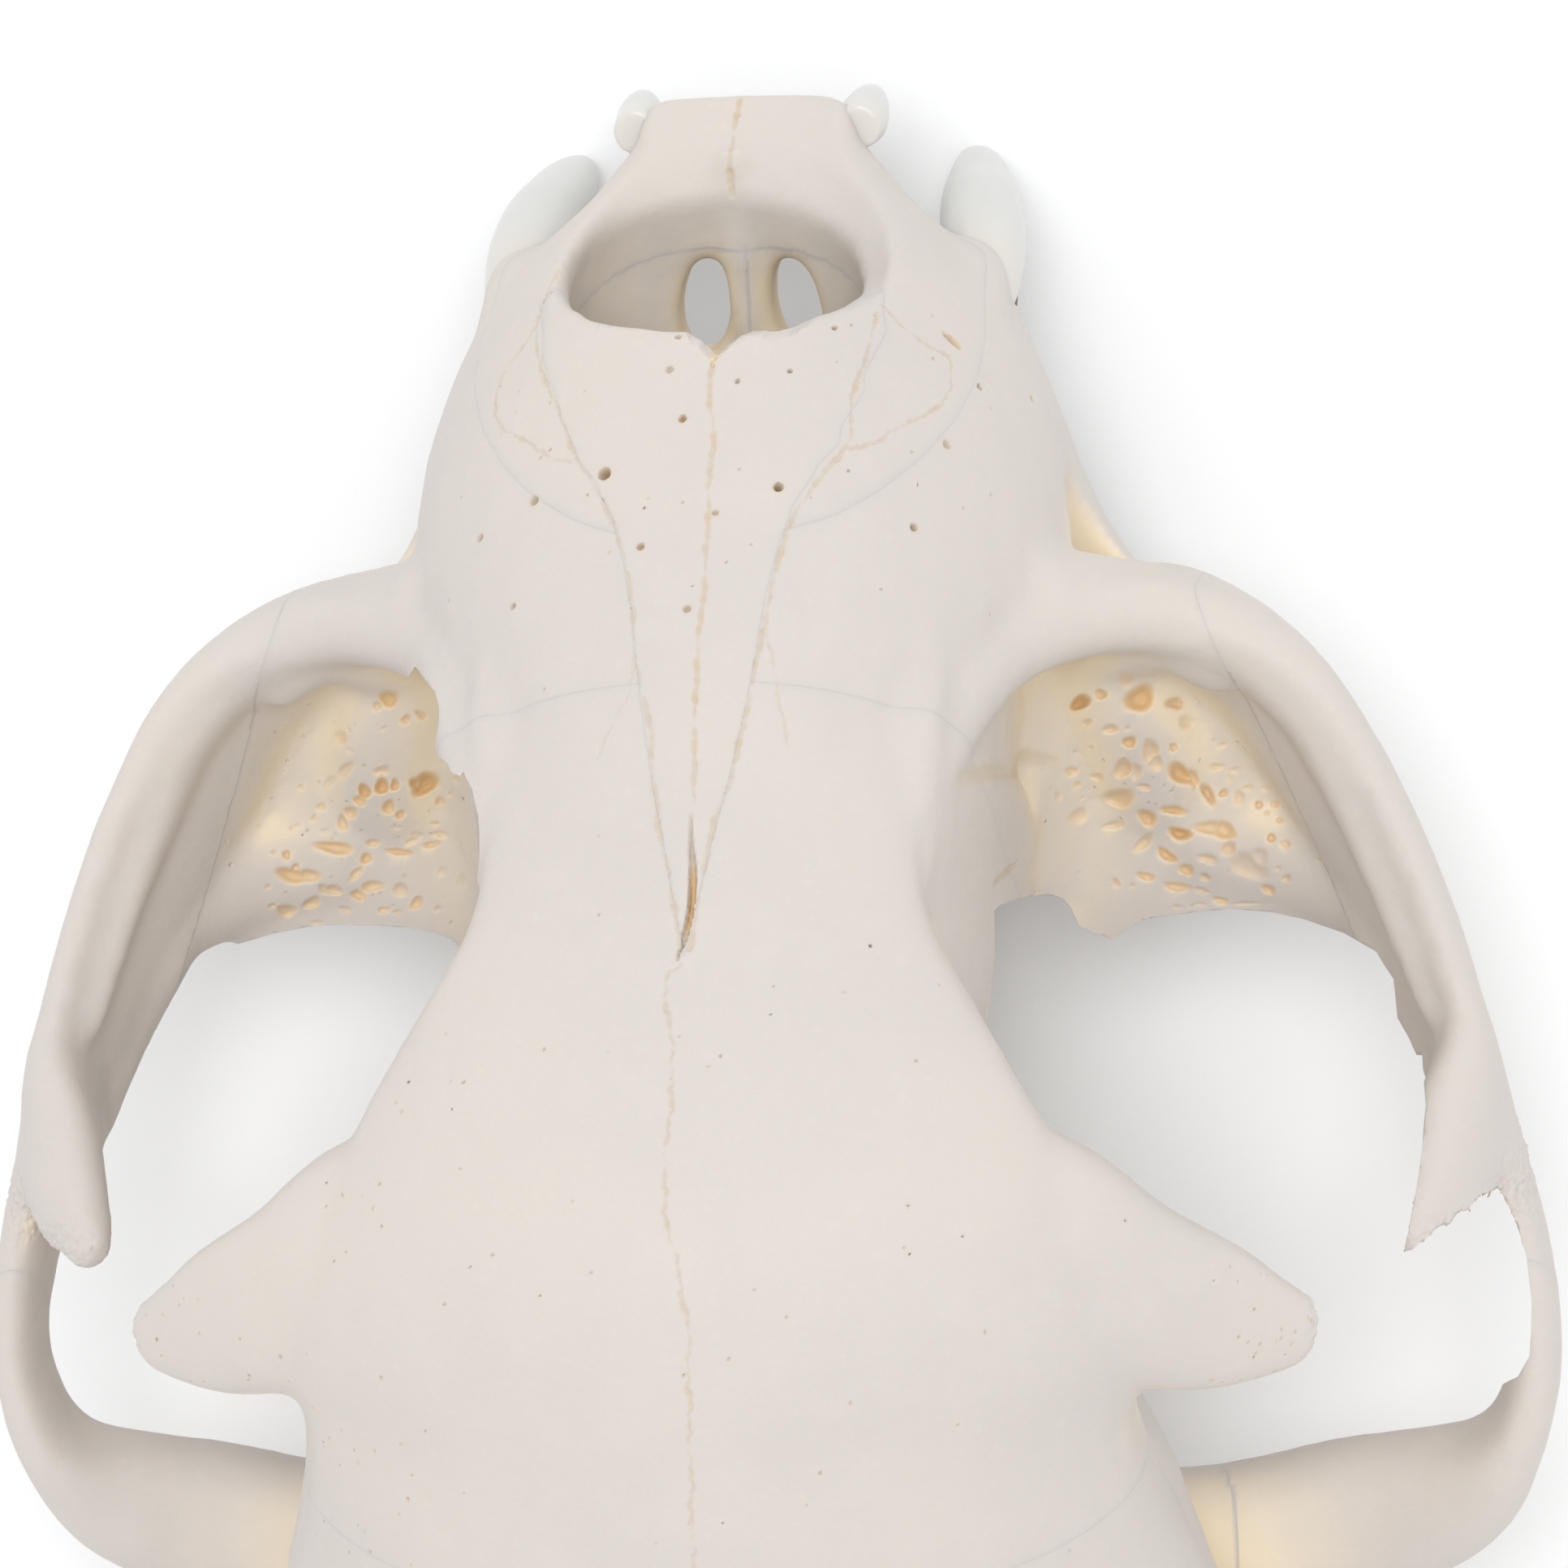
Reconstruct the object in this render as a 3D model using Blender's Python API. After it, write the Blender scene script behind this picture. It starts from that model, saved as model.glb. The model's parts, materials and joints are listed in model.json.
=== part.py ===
"""Cat skull without its lower jaw, life size, resting on its canine tips and ear capsules.

The forms are drawn in the skull's own frame, in millimetres: X to the animal's left, Y from the front
teeth to the back of the head, Z up from the palate. They are fused into one bone, hollowed, parted
along its sutures, and then set down on the floor and scaled to metres.
"""

import math

import bmesh
import bpy
import numpy as np
from mathutils import Matrix, Vector

MM = 0.001

# Driving sizes, in millimetres. The skull is drawn 90 long and scaled to its own length at the end,
# and the cheek arches and brow processes are drawn to reach the spreads in DRAWN.
SKULL_LENGTH = 90.0
ARCH_SPREAD = 66.8
BROW_SPREAD = 48.6
BRAINCASE_WIDTH = 44.0
PALATE_THICKNESS = 2.4
DRAWN = {"length": 90.0, "arches": 66.8, "brows": 48.6}

# How the skull lies: nose up until canine tips and ear capsules share one level.
REST_PITCH_DEG = 4.9

# How fine the fused bone is made, and the gap that parts one bone from the next.
FUSE_VOXEL = 0.5
SMOOTH_PASSES = 7
BONE_TRIANGLES = 7000
SUTURE_GAP = 0.3

SIDES = (("left", 1), ("right", -1))


def clear_scene():
    for obj in list(bpy.data.objects):
        bpy.data.objects.remove(obj)


def smooth_rows(rows, steps):
    """Rows read off a smooth curve through the given ones."""
    rows = np.array(rows, float)
    t = np.linspace(0, len(rows) - 1, steps)
    i = np.clip(t.astype(int), 0, len(rows) - 2)
    f = (t - i)[:, None]
    padded = np.vstack([2 * rows[0] - rows[1], rows, 2 * rows[-1] - rows[-2]])
    a, b, c, d = padded[i], padded[i + 1], padded[i + 2], padded[i + 3]
    return b + 0.5 * f * (c - a + f * (2 * a - 5 * b + 4 * c - d + f * (3 * (b - c) + d - a)))


def ring_offsets(sides, squareness):
    """Unit points round a superellipse, as pairs along and across."""
    angle = np.linspace(0, 2 * math.pi, sides, endpoint=False)
    power = 2 / squareness
    along = np.sign(np.cos(angle)) * np.abs(np.cos(angle)) ** power
    across = np.sign(np.sin(angle)) * np.abs(np.sin(angle)) ** power
    return along, across


def object_from_rings(name, rings):
    """A closed body skinned over a row of rings, with a fan of faces on each end."""
    mesh = bpy.data.meshes.new(name)
    bm = bmesh.new()
    loops = [[bm.verts.new(p) for p in ring] for ring in rings]
    sides = len(loops[0])
    for here, there in zip(loops, loops[1:]):
        for k in range(sides):
            n = (k + 1) % sides
            bm.faces.new((here[k], here[n], there[n], there[k]))
    bm.faces.new(reversed(loops[0]))
    bm.faces.new(loops[-1])
    bmesh.ops.recalc_face_normals(bm, faces=bm.faces)
    bm.to_mesh(mesh)
    bm.free()
    obj = bpy.data.objects.new(name, mesh)
    bpy.context.scene.collection.objects.link(obj)
    return obj


DOME = ((0.94, 0.34), (0.77, 0.64), (0.5, 0.87), (0.17, 0.985))


def with_domes(rings, rounding):
    """The rings with each end drawn in over a short dome."""
    def dome(ring, other):
        middle = ring.mean(axis=0)
        out = middle - other.mean(axis=0)
        out = out / np.linalg.norm(out)
        return [middle + (ring - middle) * shrink + out * rounding * push for shrink, push in DOME]

    start = dome(rings[0], rings[1])[::-1]
    end = dome(rings[-1], rings[-2])
    return start + list(rings) + end


def lengthwise_form(name, rows, middle_x=0.0, steps=28, sides=36, squareness=2.0, rounding=1.0):
    """A body whose cross-sections stand across Y. Each row is y, half width, middle height,
    reach up and reach down, with one more number where the middle moves sideways."""
    rings = []
    along, across = ring_offsets(sides, squareness)
    for row in smooth_rows(rows, steps):
        y, half, middle, up, down = row[:5]
        x = middle_x + (row[5] if len(row) > 5 else 0.0)
        z = middle + np.where(across > 0, up, down) * across
        rings.append(np.stack([x + half * along, np.full(sides, y), z], axis=1))
    return object_from_rings(name, with_domes(rings, rounding))


def swept_form(name, rows, across, side=1, steps=30, sides=18, squareness=2.2, rounding=0.8):
    """A body swept along a path. Each row is the path's x, y, z, the half size along the across
    direction, the half size square to it, and a lean in degrees about the path."""
    rows = smooth_rows(rows, steps)
    path = rows[:, :3]
    tangents = np.gradient(path, axis=0)
    tangents /= np.linalg.norm(tangents, axis=1)[:, None]
    along, beside = ring_offsets(sides, squareness)
    rings = []
    for row, tangent in zip(rows, tangents):
        up = np.array(across, float)
        up -= tangent * up.dot(tangent)
        up /= np.linalg.norm(up)
        out = np.cross(tangent, up)
        lean = math.radians(row[5])
        up, out = up * math.cos(lean) + out * math.sin(lean), out * math.cos(lean) - up * math.sin(lean)
        ring = row[:3] + np.outer(along * row[3], up) + np.outer(beside * row[4], out)
        rings.append(ring)
    rings = with_domes(rings, rounding)
    if side < 0:
        rings = [ring * np.array([-1.0, 1.0, 1.0]) for ring in rings]
    return object_from_rings(name, rings)


def egg_form(name, centre, radii, side=1, yaw=0.0, pitch=0.0):
    """An egg: a UV sphere stretched to its three radii, turned and placed."""
    mesh = bpy.data.meshes.new(name)
    bm = bmesh.new()
    bmesh.ops.create_uvsphere(bm, u_segments=28, v_segments=18, radius=1.0)
    turn = Matrix.Rotation(math.radians(yaw) * side, 4, "Z") @ Matrix.Rotation(math.radians(pitch), 4, "X")
    place = Matrix.Translation((centre[0] * side, centre[1], centre[2]))
    bm.transform(place @ turn @ Matrix.Diagonal((*radii, 1.0)))
    bm.to_mesh(mesh)
    bm.free()
    obj = bpy.data.objects.new(name, mesh)
    bpy.context.scene.collection.objects.link(obj)
    return obj


def block(name, centre, size, turn=(0.0, 0.0, 0.0)):
    """A box of the given size, turned by degrees about X, Y and Z."""
    mesh = bpy.data.meshes.new(name)
    bm = bmesh.new()
    bmesh.ops.create_cube(bm, size=1.0)
    spin = Matrix.Identity(4)
    for degrees, axis in zip(turn, "XYZ"):
        spin = Matrix.Rotation(math.radians(degrees), 4, axis) @ spin
    bm.transform(Matrix.Translation(centre) @ spin @ Matrix.Diagonal((*size, 1.0)))
    bm.to_mesh(mesh)
    bm.free()
    obj = bpy.data.objects.new(name, mesh)
    bpy.context.scene.collection.objects.link(obj)
    return obj


# Forms of the face.


def muzzle_forms():
    slab = PALATE_THICKNESS / 2
    forms = [
        lengthwise_form(
            "muzzle",
            [
                (3.0, 4.6, 3.0, 6.0, 2.4),
                (5.0, 6.9, 3.4, 11.2, 3.0),
                (8.0, 10.2, 4.2, 13.0, 3.6),
                (12.0, 12.5, 5.0, 14.8, 3.8),
                (16.0, 13.7, 5.8, 16.9, 4.2),
                (20.0, 13.8, 7.0, 18.4, 5.2),
                (24.0, 11.0, 10.0, 18.3, 8.0),
                (29.0, 8.6, 12.0, 19.8, 8.0),
            ],
            squareness=2.25,
        ),
        lengthwise_form(
            "incisor_bone",
            [
                (1.4, 4.5, 1.6, 1.3, 1.1),
                (2.6, 4.8, 1.9, 2.2, 1.4),
                (4.4, 6.3, 2.3, 3.2, 1.7),
                (7.0, 8.4, 2.6, 3.4, 1.9),
            ],
            squareness=3.2,
            rounding=0.5,
        ),
        lengthwise_form(
            "palate",
            [
                (5.0, 6.0, 1.9, slab, slab + 0.1),
                (9.0, 8.4, 1.9, slab, slab),
                (15.0, 10.0, 2.0, slab, slab),
                (21.0, 12.5, 2.1, slab + 0.1, slab),
                (27.0, 14.5, 2.1, slab + 0.1, slab),
                (31.5, 13.5, 2.1, slab + 0.1, slab),
                (35.5, 6.5, 2.2, slab, slab),
            ],
            squareness=3.4,
            rounding=0.8,
        ),
    ]
    for name, side in SIDES:
        forms.append(
            swept_form(
                f"canine_root_{name}",
                [
                    (9.2, 8.7, 1.4, 2.0, 2.1, 0),
                    (9.2, 9.3, 4.5, 2.4, 2.1, 0),
                    (9.1, 12.0, 9.0, 2.3, 2.0, 0),
                    (8.0, 15.5, 12.6, 1.6, 1.5, 0),
                ],
                across=(0, 1, 0),
                side=side,
            )
        )
        forms.append(
            lengthwise_form(
                f"cheek_{name}",
                [
                    (9.8, 2.0, 2.6, 3.4, 2.0, 9.2 * side),
                    (14.0, 2.3, 3.2, 5.0, 2.6, 10.6 * side),
                    (19.0, 2.7, 4.0, 6.6, 3.3, 12.2 * side),
                    (24.0, 3.9, 4.2, 6.0, 3.4, 14.4 * side),
                    (29.0, 3.7, 4.0, 4.0, 3.2, 16.2 * side),
                    (33.0, 2.6, 3.4, 2.4, 2.4, 16.6 * side),
                ],
            )
        )
        forms.append(
            lengthwise_form(
                f"orbit_floor_{name}",
                [
                    (20.6, 3.2, 8.2, 2.6, 3.6, 15.2 * side),
                    (23.5, 6.8, 6.4, 2.2, 3.4, 15.6 * side),
                    (27.5, 8.6, 5.2, 1.8, 2.8, 16.2 * side),
                    (31.5, 9.0, 4.8, 1.5, 2.2, 16.4 * side),
                    (35.6, 8.6, 4.8, 1.1, 1.5, 16.2 * side),
                ],
                squareness=2.6,
                rounding=0.7,
            )
        )
        forms.append(
            swept_form(
                f"cheek_bar_{name}",
                [
                    (12.6, 19.6, 14.4, 2.0, 1.6, 0),
                    (15.0, 20.4, 11.8, 2.0, 1.6, 0),
                    (17.4, 21.4, 10.6, 2.2, 1.8, 0),
                    (20.0, 23.2, 9.6, 2.4, 1.6, 0),
                ],
                across=(0, 0.5, 1),
                side=side,
            )
        )
        forms.append(
            swept_form(
                f"orbit_wall_{name}",
                [
                    (10.5, 22.6, 14.5, 8.0, 1.6, -9.5),
                    (9.5, 27.0, 16.0, 10.2, 1.6, -9.5),
                    (9.1, 31.0, 16.0, 10.4, 1.6, -9.5),
                    (8.9, 34.6, 17.2, 8.2, 1.5, -8.0),
                    (8.4, 38.5, 18.8, 6.2, 1.2, -5.0),
                ],
                across=(0, 0, 1),
                side=side,
                squareness=4.0,
            )
        )
        forms.append(
            swept_form(
                f"orbit_rim_{name}",
                [
                    (7.8, 29.0, 25.6, 1.2, 1.3, 0),
                    (9.0, 25.4, 23.6, 1.5, 1.3, 0),
                    (11.0, 22.5, 19.6, 1.8, 1.7, 0),
                    (13.2, 21.8, 15.6, 2.0, 1.9, 0),
                    (16.6, 21.6, 12.4, 1.9, 2.0, 0),
                    (20.4, 22.6, 11.4, 1.7, 2.0, 0),
                    (24.0, 25.8, 11.6, 1.5, 2.2, 0),
                ],
                across=(0, 1, 0.2),
                side=side,
            )
        )
    return forms


def frontal_forms():
    forms = [
        lengthwise_form(
            "forehead",
            [
                (20.0, 7.8, 19.0, 6.2, 8.0),
                (24.0, 8.8, 23.0, 5.1, 8.0),
                (27.0, 8.8, 25.8, 4.4, 7.5),
                (30.0, 9.4, 28.0, 4.2, 7.0),
                (34.0, 11.9, 30.0, 4.7, 6.0),
                (38.0, 14.2, 31.0, 5.4, 6.0),
                (42.0, 16.2, 31.0, 6.9, 7.0),
                (46.0, 17.4, 30.4, 8.1, 8.5),
                (50.0, 17.0, 28.6, 9.9, 10.0),
                (54.0, 17.8, 26.4, 12.1, 12.0),
                (59.0, 19.2, 24.0, 13.9, 12.0),
                (65.0, 19.6, 22.0, 13.8, 12.0),
            ],
            steps=48,
        ),
        lengthwise_form(
            "orbit_walls",
            [
                (18.0, 9.0, 13.0, 9.0, 9.0),
                (23.0, 9.6, 14.5, 11.0, 9.5),
                (27.0, 8.2, 16.5, 12.0, 11.0),
                (31.0, 8.8, 18.5, 12.0, 12.5),
                (35.5, 9.2, 19.5, 12.0, 13.0),
                (39.0, 8.4, 20.5, 13.0, 13.0),
                (45.0, 10.2, 21.5, 13.0, 12.8),
                (51.0, 14.6, 21.5, 14.0, 13.5),
            ],
            squareness=2.3,
        ),
    ]
    reach = BROW_SPREAD / DRAWN["brows"]
    for name, side in SIDES:
        forms.append(
            swept_form(
                f"brow_process_{name}",
                [
                    (9.0 * reach, 42.6, 29.6, 6.4, 3.4, 0),
                    (13.6 * reach, 43.7, 30.2, 5.5, 3.6, 0),
                    (17.0 * reach, 44.9, 29.8, 4.0, 2.8, 0),
                    (20.6 * reach, 46.4, 28.3, 3.0, 1.9, 0),
                    (23.2 * reach, 47.3, 26.9, 1.7, 1.35, 0),
                ],
                across=(0, 1, 0),
                side=side,
                rounding=1.0,
            )
        )
    return forms


# Forms of the cheek arches.


def arch_forms():
    reach = ARCH_SPREAD / DRAWN["arches"]
    forms = []
    for name, side in SIDES:
        forms.append(
            swept_form(
                f"arch_{name}",
                [
                    (14.5, 24.4, 8.4, 4.6, 3.0, 0),
                    (18.4, 22.4, 8.4, 4.8, 2.2, 8),
                    (22.2 * reach, 24.4, 8.6, 4.9, 1.7, 15),
                    (25.2 * reach, 29.0, 8.8, 5.0, 1.5, 18),
                    (27.6 * reach, 34.5, 9.4, 4.9, 1.4, 17),
                    (29.4 * reach, 39.5, 10.3, 4.6, 1.3, 13),
                    (30.9 * reach, 44.5, 11.3, 3.6, 1.2, 8),
                    (32.1 * reach, 49.0, 12.2, 2.9, 1.1, 4),
                    (32.4 * reach, 53.0, 12.8, 2.7, 1.1, 0),
                    (31.3 * reach, 56.8, 12.6, 2.8, 1.5, 0),
                    (28.8 * reach, 59.3, 11.7, 2.5, 2.9, 0),
                    (24.4, 60.8, 11.0, 2.2, 3.5, 0),
                    (18.0, 61.6, 10.8, 2.4, 2.9, 0),
                    (13.5, 61.4, 11.5, 2.6, 3.2, 0),
                ],
                across=(0, 0, 1),
                side=side,
                steps=60,
            )
        )
        forms.append(
            swept_form(
                f"cheek_process_{name}",
                [
                    (29.7 * reach, 40.6, 11.5, 4.6, 1.3, 0),
                    (29.7 * reach, 42.4, 14.4, 3.6, 1.7, 0),
                    (28.9 * reach, 44.5, 16.9, 2.3, 1.5, 0),
                    (27.7 * reach, 46.3, 18.7, 1.1, 0.9, 0),
                ],
                across=(0, 1, 0.3),
                side=side,
                rounding=0.6,
            )
        )
        forms.append(
            swept_form(
                f"cheek_fillet_{name}",
                [
                    (18.0, 32.6, 5.2, 2.2, 1.4, 0),
                    (22.4, 33.4, 5.6, 2.4, 1.5, 0),
                    (26.2 * reach, 35.6, 6.6, 2.4, 1.7, 0),
                    (28.6 * reach, 39.4, 8.2, 1.7, 1.9, 0),
                    (29.8 * reach, 43.0, 10.2, 1.1, 1.8, 0),
                ],
                across=(1, 1, 0),
                side=side,
            )
        )
        forms.append(
            swept_form(
                f"jaw_joint_ridge_{name}",
                [
                    (17.8, 62.6, 8.0, 3.0, 1.4, 0),
                    (21.4, 62.6, 6.8, 3.6, 1.3, 0),
                    (26.0, 61.4, 8.2, 2.8, 1.2, 0),
                ],
                across=(0, 0, 1),
                side=side,
            )
        )
    return forms


# Forms of the braincase.


def braincase_forms():
    forms = [
        lengthwise_form(
            "braincase",
            [
                (47.0, 13.6, 22.0, 14.6, 13.0),
                (51.0, 15.8, 22.0, 16.2, 14.0),
                (55.0, 17.7, 21.5, 16.8, 14.0),
                (60.0, 19.3, 21.0, 16.8, 13.6),
                (65.0, 21.1, 20.5, 15.6, 13.0),
                (70.0, BRAINCASE_WIDTH / 2, 19.8, 14.6, 12.6),
                (77.0, 19.6, 18.5, 12.8, 11.6),
                (82.0, 16.5, 17.5, 11.0, 10.6),
                (85.0, 13.0, 16.8, 9.4, 9.4),
            ],
            steps=44,
            squareness=2.1,
            rounding=1.5,
        ),
        lengthwise_form(
            "skull_base",
            [
                (33.0, 5.0, 9.0, 3.0, 1.7),
                (42.0, 5.4, 9.0, 3.0, 1.7),
                (52.0, 7.0, 9.0, 3.0, 1.8),
                (62.0, 7.6, 9.0, 3.0, 2.8),
                (72.0, 7.6, 8.8, 3.0, 3.0),
                (80.0, 8.4, 7.4, 3.0, 2.6),
                (86.0, 6.4, 6.0, 2.6, 1.8),
            ],
            squareness=2.6,
        ),
        lengthwise_form(
            "nape_plate",
            [
                (78.0, 17.6, 15.0, 14.0, 8.6),
                (82.0, 16.6, 14.6, 13.0, 8.8),
                (85.0, 14.4, 14.0, 11.4, 8.6),
                (87.0, 12.0, 13.8, 10.6, 8.0),
            ],
            rounding=0.5,
        ),
    ]
    for name, side in SIDES:
        forms += [
            swept_form(
                f"nape_crest_{name}",
                [
                    (18.0, 74.0, 8.0, 1.9, 1.6, 0),
                    (17.5, 78.0, 12.6, 1.7, 1.4, 0),
                    (14.8, 81.8, 18.6, 1.7, 1.4, 0),
                    (9.8, 85.0, 22.4, 1.8, 1.5, 0),
                    (4.4, 87.0, 23.8, 2.1, 1.8, 0),
                    (-0.8, 87.4, 24.2, 2.3, 1.9, 0),
                ],
                across=(0, 0.3, 1),
                side=side,
            ),
            swept_form(
                f"condyle_{name}",
                [
                    (2.6, 86.4, 4.8, 1.7, 1.9, 0),
                    (5.4, 87.4, 5.8, 2.2, 2.2, 0),
                    (7.4, 87.4, 8.6, 2.4, 2.2, 0),
                    (7.2, 86.0, 12.0, 1.9, 1.9, 0),
                ],
                across=(0, 1, 0),
                side=side,
            ),
            egg_form(f"ear_capsule_{name}", (11.6, 69.6, 3.3), (6.2, 9.0, 6.3), side=side, yaw=-14, pitch=2),
            egg_form(f"ear_ring_{name}", (17.4, 69.2, 7.2), (3.2, 4.0, 4.0), side=side),
            swept_form(
                f"jugular_process_{name}",
                [
                    (15.8, 80.6, 10.0, 2.8, 2.2, 0),
                    (15.4, 81.6, 5.4, 2.4, 1.6, 0),
                    (14.6, 82.2, 1.4, 1.3, 1.0, 0),
                ],
                across=(1, 0, 0),
                side=side,
            ),
            swept_form(
                f"wing_plate_{name}",
                [
                    (7.5, 33.4, 5.2, 4.4, 1.2, 0),
                    (7.2, 37.0, 6.2, 4.8, 1.2, 0),
                    (6.3, 41.0, 5.8, 4.4, 0.9, 0),
                    (5.5, 46.0, 5.0, 3.8, 0.75, 0),
                    (5.3, 50.0, 3.4, 2.2, 0.7, 0),
                    (5.6, 52.2, 2.0, 0.8, 0.6, 0),
                ],
                across=(0, 0, 1),
                side=side,
                rounding=0.4,
            ),
        ]
    return forms


# Hollows taken out of the fused bone.


def hollow_forms():
    forms = [
        lengthwise_form(
            "nose_hollow",
            [
                (5.0, 5.4, 9.2, 6.4, 4.8, 0.6),
                (8.0, 6.2, 9.4, 6.4, 5.8, 0.6),
                (13.0, 7.0, 10.4, 8.0, 7.0, 0.2),
                (19.0, 6.6, 13.0, 10.2, 9.4, 0.0),
                (25.0, 5.0, 17.0, 10.6, 12.0, 0.0),
                (30.0, 3.4, 22.0, 8.8, 9.0, 0.0),
            ],
            squareness=2.2,
        ),
        lengthwise_form(
            "throat_hollow",
            [
                (22.0, 4.4, 6.4, 2.6, 2.4),
                (30.0, 4.4, 5.6, 2.2, 2.2),
                (34.8, 4.6, 5.0, 2.6, 2.0),
                (38.0, 4.9, 4.0, 3.4, 6.0),
                (46.0, 4.4, 2.0, 5.4, 8.0),
                (56.0, 4.4, 0.0, 6.8, 9.0),
            ],
            squareness=2.8,
        ),
        lengthwise_form(
            "brain_hollow",
            [
                (69.0, 6.0, 14.4, 5.0, 5.0),
                (74.0, 8.2, 14.2, 6.4, 6.2),
                (80.0, 7.6, 13.0, 5.8, 5.8),
                (85.0, 6.3, 11.6, 4.8, 4.7),
                (92.0, 6.5, 9.8, 5.0, 4.7),
            ],
        ),
        lengthwise_form(
            "nose_front",
            [
                (-3.0, 16.0, 16.0, 14.0, 17.6),
                (0.8, 11.0, 16.0, 14.0, 14.6),
                (2.0, 9.8, 16.0, 14.0, 13.2),
                (3.2, 8.8, 16.0, 14.0, 12.1),
                (4.4, 8.0, 16.0, 12.0, 11.4),
                (5.8, 7.4, 16.0, 9.0, 10.2),
                (7.0, 7.0, 15.5, 6.0, 7.5),
            ],
            squareness=3.0,
        ),
    ]
    for name, side in SIDES:
        forms += [
            egg_form(f"palate_fissure_{name}", (2.0, 9.4, 2.0), (1.1, 2.3, 4.0), side=side, yaw=-8),
            egg_form(f"cheek_canal_{name}", (14.6, 20.6, 7.6), (1.7, 5.0, 2.2), side=side, yaw=-6),
            egg_form(f"ear_canal_{name}", (19.0, 69.2, 7.2), (5.0, 2.3, 2.4), side=side),
            swept_form(
                f"jaw_joint_{name}",
                [
                    (16.5, 59.4, 6.4, 2.4, 2.4, 0),
                    (21.0, 59.2, 5.8, 2.6, 2.6, 0),
                    (30.0, 57.4, 6.8, 2.4, 2.4, 0),
                ],
                across=(0, 1, 0),
                side=side,
            ),
        ]
    return forms


# Fusing and cutting.


def joined(name, objects):
    """One object that holds the meshes of all of these, which are removed."""
    bm = bmesh.new()
    for obj in objects:
        bm.from_mesh(obj.data)
        bpy.data.objects.remove(obj)
    mesh = bpy.data.meshes.new(name)
    bm.to_mesh(mesh)
    bm.free()
    made = bpy.data.objects.new(name, mesh)
    bpy.context.scene.collection.objects.link(made)
    return made


def applied(obj):
    """The object with its modifiers made part of its mesh."""
    graph = bpy.context.evaluated_depsgraph_get()
    mesh = bpy.data.meshes.new_from_object(obj.evaluated_get(graph))
    obj.modifiers.clear()
    obj.data = mesh
    return obj


def fused(obj, voxel):
    remesh = obj.modifiers.new("fuse", "REMESH")
    remesh.mode = "VOXEL"
    remesh.voxel_size = voxel
    remesh.adaptivity = 0.0
    return applied(obj)


def smoothed(obj, passes):
    soften = obj.modifiers.new("soften", "SMOOTH")
    soften.factor = 0.5
    soften.iterations = passes
    return applied(obj)


def cut_away(obj, cutter):
    cut = obj.modifiers.new("cut", "BOOLEAN")
    cut.operation = "DIFFERENCE"
    cut.solver = "MANIFOLD"
    cut.object = cutter
    applied(obj)
    bpy.data.objects.remove(cutter)
    return obj


def whole_bone(voxel=FUSE_VOXEL, passes=SMOOTH_PASSES):
    """All the forms fused into one bone, with its hollows, in the skull's frame in millimetres."""
    forms = muzzle_forms() + frontal_forms() + arch_forms() + braincase_forms()
    bone = fused(joined("bone", forms), voxel)
    hollows = fused(joined("hollows", hollow_forms()), voxel)
    cut_away(bone, hollows)
    return smoothed(fused(bone, voxel), passes)


def thinned(obj, triangles):
    count = sum(len(face.vertices) - 2 for face in obj.data.polygons)
    thin = obj.modifiers.new("thin", "DECIMATE")
    thin.decimate_type = "COLLAPSE"
    thin.ratio = min(1.0, triangles / count)
    thin.use_collapse_triangulate = True
    return applied(obj)


def added_to(obj, extra):
    """The object with one more closed form grown into it."""
    grow = obj.modifiers.new("grow", "BOOLEAN")
    grow.operation = "UNION"
    grow.solver = "MANIFOLD"
    grow.object = extra
    applied(obj)
    bpy.data.objects.remove(extra)
    return obj


# Sutures: thin blades that part the bone.

# The edge of the nasal bones on the left side: x, y and z on the surface of the muzzle, then x and z
# where the cut comes out into the hollow of the nose.
NASAL_EDGE = [
    (9.6, 5.0, 12.6, 4.5, 9.5),
    (7.2, 8.2, 14.5, 4.2, 9.5),
    (5.7, 11.9, 19.0, 4.2, 13.0),
    (3.9, 14.2, 22.0, 3.2, 15.5),
    (2.9, 17.3, 24.5, 2.5, 17.5),
    (2.4, 20.5, 26.2, 2.1, 19.5),
    (1.7, 24.5, 29.0, 1.4, 22.0),
    (0.7, 28.0, 31.0, 0.5, 24.0),
    (0.0, 30.2, 32.0, 0.0, 25.0),
]


def nasal_blade():
    """A folded sheet round the nasal bones, reaching from above them into the hollow of the nose."""
    left = [(x, y, z, deep_x, deep_z) for x, y, z, deep_x, deep_z in smooth_rows(NASAL_EDGE, 18)]
    right = [(-x, y, z, -deep_x, deep_z) for x, y, z, deep_x, deep_z in reversed(left[:-1])]
    bm = bmesh.new()
    rows = []
    for x, y, z, deep_x, deep_z in left + right:
        edge = Vector((x, y, z))
        deep = Vector((deep_x, y, deep_z))
        rows.append((bm.verts.new(edge + (edge - deep) * 0.5), bm.verts.new(deep)))
    for here, there in zip(rows, rows[1:]):
        bm.faces.new((here[0], here[1], there[1], there[0]))
    mesh = bpy.data.meshes.new("nasal_blade")
    bm.to_mesh(mesh)
    bm.free()
    obj = bpy.data.objects.new("nasal_blade", mesh)
    bpy.context.scene.collection.objects.link(obj)
    wall = obj.modifiers.new("wall", "SOLIDIFY")
    wall.thickness = SUTURE_GAP
    wall.offset = 0.0
    wall.use_even_offset = True
    return applied(obj)


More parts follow.
